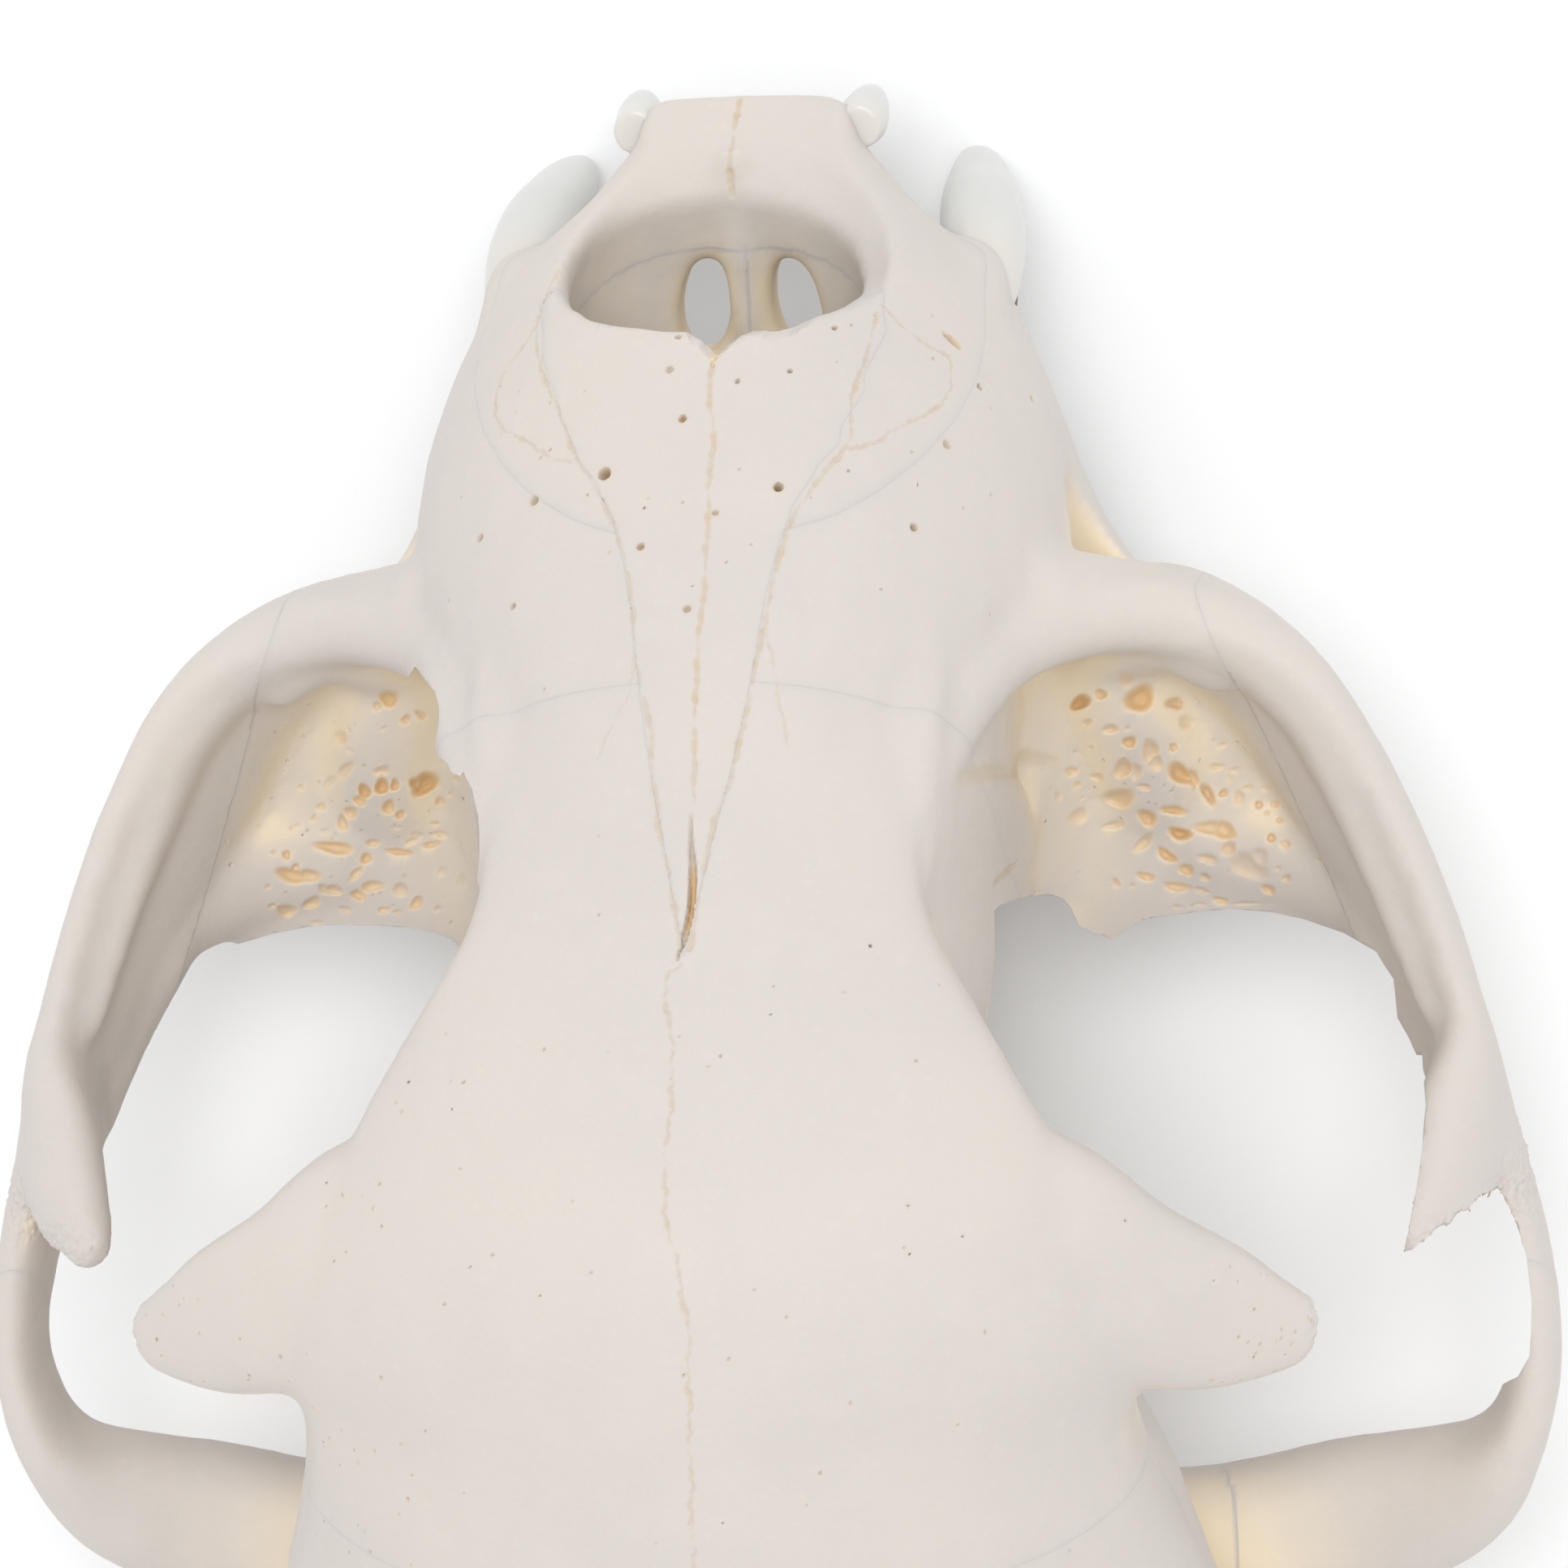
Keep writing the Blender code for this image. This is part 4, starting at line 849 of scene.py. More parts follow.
SUTURES = {
    "nasal_midline": (0.9, 1.0, 0.04, 0.54, [
        (-0.3, 8.2, 17.2), (-0.2, 10.0, 18.5), (-0.4, 11.7, 19.6), (-0.3, 13.5, 20.8), (-0.3, 16.4, 22.9),
        (-0.1, 19.3, 24.9), (-0.1, 22.1, 26.9), (-0.2, 24.6, 28.6),
    ]),
    "frontal_midline": (0.7, 0.8, 0.08, 0.34, [
        (0.1, 30.2, 32.4), (0.7, 30.8, 32.7), (0.5, 32.3, 33.7), (0.3, 34.3, 34.8), (0.5, 36.3, 35.7),
        (0.6, 38.7, 36.7), (0.1, 41.1, 37.6), (-0.3, 43.6, 38.2), (-0.2, 48.2, 38.5), (-0.1, 53.1, 38.5),
        (0.2, 58.0, 38.0),
    ]),
    "premaxilla_midline": (1.0, 1.1, 0.02, 0.6, [
        (0.3, 0.6, 1.6), (0.4, 1.3, 2.7), (0.5, 2.1, 3.9), (0.5, 3.2, 4.4), (0.4, 4.6, 4.4),
    ]),
    "nasal_left_front": (0.8, 0.8, 0.05, 0.35, [
        (7.9, 7.4, 13.6), (7.4, 9.0, 15.1), (6.5, 10.5, 17.0), (5.7, 11.9, 18.5), (5.2, 12.7, 19.3),
        (4.0, 14.1, 20.8), (3.3, 15.5, 22.0), (2.8, 16.9, 23.1), (2.5, 19.3, 24.7), (2.2, 20.6, 25.6),
    ]),
    "nasal_left_back": (0.9, 0.9, 0.04, 0.4, [
        (2.0, 21.0, 25.9), (1.7, 22.1, 26.8), (1.5, 23.8, 28.0), (1.1, 25.8, 29.4), (0.5, 27.9, 30.9),
        (0.1, 30.0, 32.2),
    ]),
    "nasal_right": (0.9, 0.9, 0.04, 0.41, [
        (-6.8, 7.6, 14.4), (-6.4, 9.2, 16.2), (-5.9, 10.6, 17.5), (-5.8, 12.2, 18.7), (-4.7, 13.4, 20.0),
        (-3.7, 14.8, 21.4), (-3.2, 16.2, 22.5), (-2.8, 18.2, 23.9), (-2.4, 20.2, 25.3), (-2.0, 22.2, 26.8),
        (-1.6, 23.9, 28.0), (-1.0, 25.5, 29.2), (-0.6, 27.5, 30.6), (-0.2, 29.8, 32.0),
    ]),
    "maxilla_tongue_right": (0.6, 0.5, 0.05, 0.21, [
        (-2.7, 18.2, 23.9), (-3.2, 20.2, 25.2), (-3.6, 21.9, 26.2), (-3.9, 23.0, 27.0),
    ]),
    "maxilla_tongue_left": (0.6, 0.5, 0.06, 0.21, [
        (2.5, 19.3, 24.7), (2.6, 20.7, 25.6), (3.3, 21.9, 26.3), (3.9, 23.3, 27.0),
    ]),
    "incisor_bone_left": (0.7, 0.7, 0.08, 0.36, [
        (6.9, 6.2, 10.7), (7.6, 7.4, 13.4), (8.2, 8.6, 14.1), (9.1, 10.0, 14.2), (9.3, 11.2, 15.0),
        (8.8, 11.8, 16.1), (7.9, 12.1, 17.2), (6.6, 12.5, 18.5), (5.6, 12.7, 19.2),
    ]),
    "incisor_bone_right": (0.7, 0.7, 0.08, 0.36, [
        (-6.9, 7.3, 13.9), (-7.9, 8.3, 14.1), (-8.9, 9.2, 13.8), (-9.6, 9.8, 13.3), (-9.6, 10.8, 14.3),
        (-9.2, 11.5, 15.3), (-8.5, 11.7, 16.3), (-7.8, 11.9, 17.1), (-6.9, 12.3, 18.2), (-5.8, 12.4, 18.8),
    ]),
}

# The slit left open where the nasal and frontal bones meet: place, half width and depth.
SLIT = [
    (-0.1, 25.0, 29.0, 0.07, 0.08), (-0.15, 26.0, 29.7, 0.12, 0.22), (-0.25, 26.9, 30.3, 0.19, 0.42),
    (-0.28, 27.8, 30.9, 0.21, 0.5), (-0.2, 28.6, 31.4, 0.19, 0.5), (0.0, 29.3, 31.8, 0.16, 0.36),
    (0.25, 30.1, 32.3, 0.08, 0.12),
]

# Stained grooves in the inner wall of the right eye socket, and one on the muzzle beside the nose: place,
# half width, depth and stain.
GROOVES = [
    [
        (-10.6, 25.4, 22.4, 0.28, 0.04, 0.3), (-10.8, 25.9, 19.8, 0.34, 0.06, 0.5),
        (-11.1, 26.5, 16.8, 0.34, 0.07, 0.55), (-11.5, 27.3, 13.6, 0.36, 0.07, 0.55),
        (-11.8, 27.7, 10.8, 0.34, 0.05, 0.5), (-12.0, 28.0, 7.6, 0.24, 0.04, 0.3),
    ],
    [
        (-10.7, 31.5, 16.0, 0.14, 0.1, 0.5), (-11.0, 31.5, 14.0, 0.2, 0.12, 0.6),
        (-11.3, 31.6, 12.2, 0.12, 0.08, 0.4),
    ],
    [(-9.6, 8.7, 12.7, 0.12, 0.14, 0.9), (-9.7, 9.1, 12.5, 0.19, 0.3, 1.1), (-9.8, 9.6, 12.3, 0.14, 0.2, 1.0)],
]

# Small openings: place, radius and depth. Then the dark specks: place and radius.
OPENINGS = [
    (4.1, 13.0, 20.0, 0.3, 0.9), (-3.1, 13.6, 20.6, 0.22, 0.9),
    (-10.6, 11.2, 12.8, 0.16, 0.5), (-12.3, 12.5, 9.2, 0.14, 0.5), (-9.5, 12.9, 16.2, 0.22, 0.25),
    (-8.4, 15.6, 19.5, 0.2, 0.4), (7.1, 14.2, 19.5, 0.24, 0.4), (9.5, 15.9, 18.7, 0.18, 0.5),
    (2.4, 15.6, 22.2, 0.18, 0.4), (7.8, 18.1, 21.7, 0.15, 0.4), (1.2, 8.2, 16.9, 0.13, 0.5),
    (0.9, 11.0, 19.1, 0.18, 0.5), (1.5, 9.2, 17.9, 0.18, 0.25), (-1.3, 9.7, 18.2, 0.12, 0.25),
    (-3.4, 9.4, 17.7, 0.1, 0.3), (-5.1, 8.0, 15.9, 0.12, 0.4), (0.4, 17.8, 23.9, 0.18, 0.3),
    (-0.6, 14.4, 21.5, 0.14, 0.25),
]
SPECKS = [
    (-7.3, 30.0, 30.8, 0.1), (11.5, 34.8, 32.6, 0.09), (9.4, 35.6, 34.1, 0.06), (15.4, 38.5, 32.9, 0.07),
    (-17.5, 40.8, 32.5, 0.07), (-11.1, 40.5, 35.8, 0.07), (-3.5, 32.1, 33.3, 0.05),
]

# Fine pores are scattered round these places: middle, spread and how many.
PORES = [
    ((-21.5, 46.5, 29.0), (2.6, 1.8, 1.5), 46), ((20.5, 46.5, 30.0), (2.6, 1.8, 1.5), 20),
    ((0.0, 40.0, 37.0), (9.0, 9.0, 2.0), 40), ((13.0, 37.5, 33.0), (2.5, 2.5, 2.0), 18),
    ((0.0, 14.0, 21.0), (5.0, 4.0, 3.0), 30), ((8.5, 12.0, 16.0), (2.0, 4.0, 3.0), 16),
    ((-8.5, 12.0, 16.0), (2.0, 4.0, 3.0), 16), ((14.0, 51.0, 33.0), (3.0, 3.0, 2.0), 24),
    ((0.0, 68.0, 34.0), (14.0, 12.0, 8.0), 90), ((16.5, 30.5, 7.5), (3.0, 3.0, 1.5), 60),
    ((-17.0, 30.0, 7.5), (3.0, 3.0, 1.5), 60),
]
DARK_PORES = 0.1
PORE_RADII = (0.035, 0.085)
PORE_DEPTHS = (0.05, 0.16)

# How close the marks of a line stand, and how strong the stain is in the slit, openings and pores.
MARK_SPACING = 0.06
GROOVE_SPACING = 0.08
SLIT_STAIN, OPENING_STAIN, PORE_STAIN = 0.3, 0.5, 0.45
SPECK_DEPTH = 0.05

# The waves that a suture sways by: length and share. Then how much its width varies by the same waves,
# and between which shares it stays.
SWAY_WAVES = ((3.1, 0.6), (1.3, 0.5), (0.62, 0.35), (0.33, 0.18))
WIDTH_VARIES = 0.45
WIDTH_SHARES = (0.35, 1.7)
WIDTH_STEP = 0.05


def evenly_along(rows, spacing):
    """Rows set at an even spacing on the smooth curve through the given ones."""
    fine = smooth_rows(rows, len(rows) * 40)
    gone = np.concatenate([[0.0], np.cumsum(np.linalg.norm(np.diff(fine[:, :3], axis=0), axis=1))])
    steps = np.arange(0.0, gone[-1], spacing)
    return np.stack([np.interp(steps, gone, fine[:, k]) for k in range(fine.shape[1])], axis=1)


def sway(count, spacing, draw):
    """A wandering sideways offset of about one unit, with a slow and a quick part."""
    step = np.arange(count) * spacing
    total = np.zeros(count)
    for wave, part in SWAY_WAVES:
        total += part * np.sin(step * 2 * math.pi / wave * draw.uniform(0.85, 1.15) + draw.uniform(0, 7))
    return total


def mark_rows(bone, sizes):
    """Every mark as x, y, z, radius, depth, stain and speck, set on the bone's surface."""
    draw = np.random.default_rng(11)
    half = sizes.suture_width / MM / 2
    deep = sizes.suture_depth / MM
    rows = []
    for width, depth, wander, stain, points in SUTURES.values():
        line = evenly_along(points, MARK_SPACING)
        heading = np.gradient(line, axis=0)
        aside = np.cross(heading, (0.0, 0.25, 1.0))
        aside /= np.linalg.norm(aside, axis=1)[:, None]
        line = line + aside * (wander * sway(len(line), MARK_SPACING, draw))[:, None]
        vary = 1 + WIDTH_VARIES * sway(len(line), WIDTH_STEP, draw)
        for point, change in zip(line, np.clip(vary, *WIDTH_SHARES)):
            rows.append((*point, half * width * change, deep * depth * change, stain * change, 0.0))
    rows += [(*row, SLIT_STAIN, 0.0) for row in evenly_along(SLIT, MARK_SPACING)]
    for groove in GROOVES:
        rows += [(*row, 0.0) for row in evenly_along(groove, GROOVE_SPACING)]
    rows += [(*row, OPENING_STAIN, 0.0) for row in OPENINGS]
    rows += [(*row, SPECK_DEPTH, 0.0, 1.0) for row in SPECKS]
    rows = np.array(rows + scattered_marks(draw))
    surface = BVHTree.FromObject(bone, bpy.context.evaluated_depsgraph_get())
    rows[:, :3] = [surface.find_nearest(Vector(row[:3]))[0] for row in rows]
    return rows


def scattered_marks(draw):
    """Fine pores over the brow, the brow processes and the muzzle, and a few dark ones among them."""
    rows = []
    for middle, spread, count in PORES:
        for _ in range(count):
            point = draw.normal(middle, spread)
            dark = draw.random() < DARK_PORES
            radius = draw.uniform(*PORE_RADII)
            rows.append((*point, radius, draw.uniform(*PORE_DEPTHS), PORE_STAIN, float(dark)))
    return rows


def marks_object(rows):
    mesh = bpy.data.meshes.new("marks")
    mesh.from_pydata([tuple(row[:3]) for row in rows], [], [])
    write_values(mesh, dict(zip(("radius", "depth", "stain", "speck"), rows[:, 3:].T)))
    return object_from_mesh("marks", mesh)


def distance_to_marks(points, rows):
    """How far each point is past the edge of the nearest mark."""
    tree = KDTree(len(rows))
    for k, row in enumerate(rows):
        tree.insert(row[:3], k)
    tree.balance()
    found = np.array([tree.find(point)[1:] for point in points])
    return found[:, 1] - rows[found[:, 0].astype(int), 3]


def bump_share(points, middle, reach):
    """One at the middle of an egg-shaped place, falling to nothing at its edge."""
    away = np.linalg.norm((points - np.array(middle)) / np.array(reach), axis=1)
    return np.clip(1.25 * (1 - away), 0, 1)


# The pits of the two eye socket floors, as the camera sees them: place, half length, half width, turn in
# degrees, depth, and how strongly they turn tan, which is partly their own colour and partly painted shade.
PITS = [
    (-13.89, 25.43, 9.49, 0.44, 0.25, 42, 0.9, 0.95), (-14.82, 25, 9.83, 0.22, 0.22, 0, 0.5, 0.6),
    (-15.94, 24.33, 10.16, 0.34, 0.27, 0, 0.3, 0.4), (-16.41, 25.33, 9.29, 0.59, 0.55, 0, 1, 0.9),
    (-17.76, 25.82, 8.19, 0.38, 0.27, 0, 0.55, 0.6), (-18.19, 26.76, 7.74, 0.35, 0.27, -30, 0.3, 0.3),
    (-14.12, 26.39, 9.02, 0.21, 0.16, 0, 0.25, 0.35), (-15.11, 26.67, 9.08, 0.3, 0.2, 10, 0.4, 0.4),
    (-15.82, 26.64, 9.09, 0.12, 0.1, 0, 0.2, 0.3), (-15.84, 27.33, 8.77, 0.25, 0.25, 0, 0.6, 0.75),
    (-16.69, 27.81, 8.44, 0.47, 0.33, -75, 0.5, 0.5), (-16.87, 28.4, 8.15, 0.37, 0.27, -80, 0.4, 0.35),
    (-17.65, 27.77, 8.03, 0.17, 0.17, 0, 0.4, 0.5), (-15.48, 28.65, 8.07, 0.37, 0.38, 0, 0.6, 0.55),
    (-13.33, 28.72, 8.09, 0.27, 0.19, 20, 0.35, 0.35), (-14.32, 29.15, 7.44, 0.27, 0.14, -20, 0.3, 0.35),
    (-13.52, 29.39, 7.66, 0.16, 0.12, 0, 0.25, 0.4), (-12.73, 29.77, 8.3, 0.17, 0.22, 0, 0.15, 0.2),
    (-14.2, 27.65, 8.31, 0.12, 0.11, 0, 0.15, 0.25), (-16.32, 29.56, 7.67, 0.27, 0.14, -10, 0.3, 0.4),
    (-17.86, 29.06, 7.5, 0.57, 0.37, -25, 1, 0.85), (-18.28, 29.31, 7.15, 0.37, 0.32, -40, 0.7, 0.6),
    (-18.9, 30.18, 6.55, 0.55, 0.21, -62, 0.7, 0.6), (-17.44, 30.78, 6.87, 0.55, 0.19, -3, 0.6, 0.6),
    (-15.2, 30.17, 7.13, 0.56, 0.4, 10, 0.6, 0.6), (-13.46, 30.92, 7.12, 0.37, 0.32, 0, 0.35, 0.3),
    (-14.87, 31.52, 6.36, 0.42, 0.2, 12, 0.3, 0.3), (-16.33, 31.11, 6.82, 0.41, 0.31, -25, 0.7, 0.7),
    (-17.65, 31.91, 6.47, 0.45, 0.29, -20, 0.9, 0.85), (-18.91, 31.65, 6.57, 0.57, 0.31, -5, 0.5, 0.5),
    (-19.54, 31.77, 6.63, 0.52, 0.32, -20, 0.6, 0.65), (-17.03, 32.9, 6.24, 0.41, 0.21, -32, 0.6, 0.7),
    (-17.86, 33.53, 6.36, 0.32, 0.22, -10, 0.5, 0.6), (-18.81, 32.98, 6.63, 0.42, 0.2, -8, 0.35, 0.3),
    (-18.64, 33.85, 6.41, 0.25, 0.14, -20, 0.3, 0.4), (-19.71, 32.52, 6.73, 0.27, 0.31, 0, 0.35, 0.45),
    (-20.5, 33.29, 6.78, 0.75, 0.5, -20, 0.4, 0.3), (-21.02, 32.88, 6.89, 0.35, 0.37, 0, 0.3, 0.2),
    (-21.33, 34.38, 6.61, 0.3, 0.17, -20, 0.4, 0.55), (-21.54, 32.05, 6.9, 0.19, 0.17, 0, 0.4, 0.6),
    (-22.14, 32.27, 7.08, 0.24, 0.15, -20, 0.3, 0.4), (-19.54, 30.18, 6.45, 0.19, 0.17, 0, 0.4, 0.55),
    (-20.21, 30.4, 6.39, 0.21, 0.3, 0, 0.25, 0.3), (-21.02, 30.73, 6.37, 0.17, 0.15, 0, 0.35, 0.5),
    (-21.35, 31.06, 6.49, 0.1, 0.1, 0, 0.2, 0.3), (-21.71, 30.67, 6.53, 0.17, 0.16, 0, 0.3, 0.4),
    (-21.9, 31.32, 6.75, 0.14, 0.12, 0, 0.3, 0.45), (-19.3, 28.95, 6.7, 0.3, 0.15, 0, 0.25, 0.3),
    (-20.58, 29.97, 6.43, 0.2, 0.11, 0, 0.2, 0.25), (-21.36, 29.94, 6.59, 0.2, 0.11, 0, 0.2, 0.25),
    (-19.61, 27.96, 6.87, 0.15, 0.11, 0, 0.2, 0.3), (-16.11, 33.86, 6.11, 0.36, 0.16, -12, 0.45, 0.5),
    (-17.41, 34.33, 6.11, 0.55, 0.16, -4, 0.5, 0.5), (-18.48, 34.49, 6.16, 0.38, 0.1, -15, 0.25, 0.35),
    (-19.24, 34.97, 6.05, 0.33, 0.14, -20, 0.4, 0.4), (-14.84, 34.14, 6.08, 0.23, 0.11, -45, 0.3, 0.35),
    (-16.05, 32.36, 6.25, 0.52, 0.22, 38, 0.4, 0.35), (-22.12, 33.79, 7.01, 0.16, 0.15, 0, 0.3, 0.45),
    (-21.78, 33.35, 7, 0.11, 0.11, 0, 0.2, 0.3), (-20.33, 35.11, 6.06, 0.63, 0.08, 0, 0.15, 0.25),
    (-18.38, 35.13, 6, 0.28, 0.08, 0, 0.12, 0.25), (-17.37, 35.25, 5.98, 0.23, 0.09, 0, 0.12, 0.25),
    (-23.57, 32.78, 7.88, 0.1, 0.1, 0, 0.2, 0.35), (-18.64, 25.73, 7.78, 0.09, 0.09, 0, 0.15, 0.25),
    (-16.01, 28.79, 8.05, 0.25, 0.32, 0, 0.35, 0.3), (-13.64, 30.12, 7.22, 0.11, 0.09, 0, 0.12, 0.15),
    (-15.53, 34.25, 6.08, 0.13, 0.09, 0, 0.15, 0.25), (-20.05, 29.16, 6.57, 0.25, 0.15, 0, 0.15, 0.15),
    (-19.85, 29.49, 6.52, 0.15, 0.27, 0, 0.12, 0.12), (15.3, 24.66, 9.98, 0.43, 0.32, 15, 0.6, 0.8),
    (15.87, 25.06, 9.62, 0.22, 0.18, 0, 0.35, 0.45), (14.7, 25.7, 9.51, 0.21, 0.2, 0, 0.35, 0.45),
    (14.04, 25.5, 9.49, 0.3, 0.15, -30, 0.3, 0.4), (17.85, 26.79, 8.04, 0.32, 0.25, 10, 0.3, 0.35),
    (15.7, 26.12, 9.32, 0.15, 0.12, 0, 0.15, 0.2), (14.39, 29.01, 7.55, 0.57, 0.42, 30, 1, 0.95),
    (14.71, 29.03, 7.64, 0.3, 0.34, 20, 0.8, 0.8), (13.87, 29.88, 7.14, 0.2, 0.22, 10, 0.35, 0.4),
    (13.27, 29.37, 7.91, 0.11, 0.11, 0, 0.25, 0.3), (16.19, 28.99, 7.96, 0.27, 0.35, 0, 0.9, 0.85),
    (17, 29.25, 7.74, 0.28, 0.27, -20, 0.9, 0.8), (17.28, 29.73, 7.45, 0.24, 0.25, 60, 0.6, 0.55),
    (17.8, 30.37, 6.95, 0.29, 0.24, 20, 0.5, 0.5), (18.24, 30.9, 6.58, 0.22, 0.34, 0, 0.4, 0.45),
    (15.62, 28.94, 7.94, 0.18, 0.25, 0, 0.6, 0.65), (16.05, 30.05, 7.4, 0.35, 0.22, 65, 0.6, 0.6),
    (15.63, 30.47, 7.09, 0.21, 0.18, 0, 0.5, 0.55), (16.08, 28.21, 8.34, 0.32, 0.22, 15, 0.35, 0.35),
    (17.74, 28.26, 7.83, 0.5, 0.2, 38, 0.35, 0.35), (18.6, 28.95, 7.03, 0.34, 0.15, 38, 0.2, 0.2),
    (19.16, 30.21, 6.49, 0.18, 0.15, 0, 0.3, 0.35), (19.5, 30.7, 6.43, 0.13, 0.12, 0, 0.25, 0.3),
    (19.97, 29.33, 6.54, 0.12, 0.11, 0, 0.2, 0.25), (18.64, 32, 6.62, 0.8, 0.25, -4, 0.6, 0.6),
    (17, 31.86, 6.44, 0.28, 0.17, 10, 0.4, 0.4), (17.35, 32.56, 6.34, 0.22, 0.25, -15, 0.5, 0.55),
    (15.9, 32.32, 6.25, 0.59, 0.14, -3, 0.45, 0.45), (14.51, 32.01, 6.26, 0.35, 0.14, 8, 0.4, 0.4),
    (20.72, 32.24, 6.82, 0.15, 0.22, 0, 0.45, 0.5), (21.24, 32.11, 6.87, 0.13, 0.1, 0, 0.2, 0.2),
    (20.52, 33.16, 6.8, 0.63, 0.32, -8, 0.7, 0.65), (19.77, 33.2, 6.71, 0.44, 0.25, 0, 0.5, 0.5),
    (14.24, 30.99, 6.51, 0.2, 0.08, 0, 0.25, 0.3), (14.03, 31.51, 6.44, 0.27, 0.15, -15, 0.25, 0.25),
    (17.81, 33.21, 6.41, 0.39, 0.15, 38, 0.35, 0.35), (17.2, 33.86, 6.16, 0.49, 0.2, 12, 0.45, 0.45),
    (17.83, 34.24, 6.17, 0.3, 0.19, -10, 0.5, 0.5), (18.92, 33.94, 6.42, 0.52, 0.19, 0, 0.4, 0.45),
    (19.84, 34.51, 6.3, 0.39, 0.22, 35, 0.45, 0.45), (20.98, 34.85, 6.28, 0.44, 0.24, -10, 0.45, 0.5),
    (21.53, 34.57, 6.56, 0.16, 0.12, 0, 0.3, 0.35), (21.6, 33.6, 6.92, 0.14, 0.09, 0, 0.2, 0.25),
    (15.98, 34.04, 6.09, 0.3, 0.3, 0, 0.3, 0.35), (15.32, 34.65, 6.04, 0.3, 0.22, 60, 0.4, 0.45),
    (16.78, 34.95, 6.02, 0.27, 0.12, 0, 0.3, 0.35), (16.18, 35.06, 6.01, 0.22, 0.08, -5, 0.2, 0.25),
    (19.75, 35.51, 5.91, 0.3, 0.08, 5, 0.2, 0.3), (15.11, 31.6, 6.36, 0.3, 0.22, 10, 0.2, 0.15),
    (15.31, 31.83, 6.32, 0.37, 0.13, 25, 0.25, 0.2), (19.24, 33.82, 6.51, 0.25, 0.15, 0, 0.3, 0.35),
    (18.45, 34.92, 6.03, 0.25, 0.12, -15, 0.25, 0.25), (20.37, 32.81, 6.8, 0.19, 0.15, 30, 0.4, 0.5),
    (15.87, 31.1, 6.78, 0.22, 0.1, 0, 0.15, 0.15), (14.13, 33.24, 6.17, 0.17, 0.25, -30, 0.15, 0.15),
    (13.25, 33.62, 6.43, 0.25, 0.29, 0, 0.12, 0.12), (14.42, 34.94, 6.01, 0.15, 0.14, 0, 0.15, 0.2),
    (17.43, 27.31, 8.29, 0.17, 0.1, 0, 0.15, 0.15), (18.13, 26.21, 7.82, 0.12, 0.08, 0, 0.12, 0.15),
    (17.38, 26.34, 8.49, 0.13, 0.1, 0, 0.15, 0.2), (12.88, 28.56, 8.56, 0.13, 0.12, 0, 0.2, 0.3),
    (20.24, 31.03, 6.46, 0.15, 0.08, 30, 0.15, 0.2), (20.5, 31.15, 6.49, 0.12, 0.08, 0, 0.15, 0.2),
    (19.05, 31.3, 6.51, 0.2, 0.12, 0, 0.15, 0.15),
]

# Where the ends of the processes are rough, on both sides: middle and reach.
ROUGH = [
    ((31.4, 45.4, 14.6), (2.6, 2.2, 4.2)), ((28.9, 46.0, 17.8), (2.4, 1.6, 3.0)),
    ((31.6, 44.6, 11.0), (2.0, 2.0, 3.0)), ((24.2, 47.2, 26.6), (1.4, 1.8, 1.8)),
]

# Faces within these distances of a mark are split, one after the other, and so are those rougher than this.
SPLIT_REACHES = (0.4, 0.16)
SPLIT_ROUGH = 0.15

# A pit marks only bone that faces the camera by more than this cosine. Its hollow and its tan end at the first
# number, in units of its own size, and reach their full strength the second number further in; the tan is
# partly the pits' own colour and partly painted shade.
PIT_FACING = 0.08
PIT_HOLLOW = (1.25, 0.95)
PIT_STAIN = (1.45, 0.8)


def rough_share(points):
    total = np.zeros(len(points))
    for middle, reach in ROUGH:
        for _, side in SIDES:
            total = np.maximum(total, bump_share(points, (middle[0] * side, *middle[1:]), reach))
    return total


def eased(values):
    """Shares from nothing to one, drawn to a smooth step."""
    held = np.clip(values, 0, 1)
    return held * held * (3 - 2 * held)


def pitted(points, normals, deeper):
    """How far each point sinks into the pits, away from the camera, and how far it turns tan there, partly the
    pits' own colour and partly painted shade.
    """
    right, up, back = (np.array(axis) for axis in camera_axes())
    draw = np.random.default_rng(3)
    sunk = np.zeros(len(points))
    stain = np.zeros(len(points))
    seen = normals @ back > PIT_FACING
    for x, y, z, half_length, half_width, turn, depth, strength in PITS:
        phases = draw.uniform(0, 7, 2)
        offset = points - (x, y, z)
        near = np.nonzero(seen & (np.abs(offset).max(axis=1) < 1.5 * half_length + 0.6))[0]
        u, v = offset[near] @ right, offset[near] @ up
        turned = math.radians(turn)
        a = (u * math.cos(turned) + v * math.sin(turned)) / half_length
        b = (v * math.cos(turned) - u * math.sin(turned)) / half_width
        angle = np.arctan2(b, a)
        uneven = 1 + 0.1 * np.sin(2 * angle + phases[0]) + 0.08 * np.sin(3 * angle + phases[1])
        away = np.hypot(a, b) * uneven
        hollow, round_it = (eased((end - away) / width) for end, width in (PIT_HOLLOW, PIT_STAIN))
        sunk[near] = np.maximum(sunk[near], hollow * depth * deeper)
        stain[near] = np.maximum(stain[near], round_it * strength)
    return sunk, stain


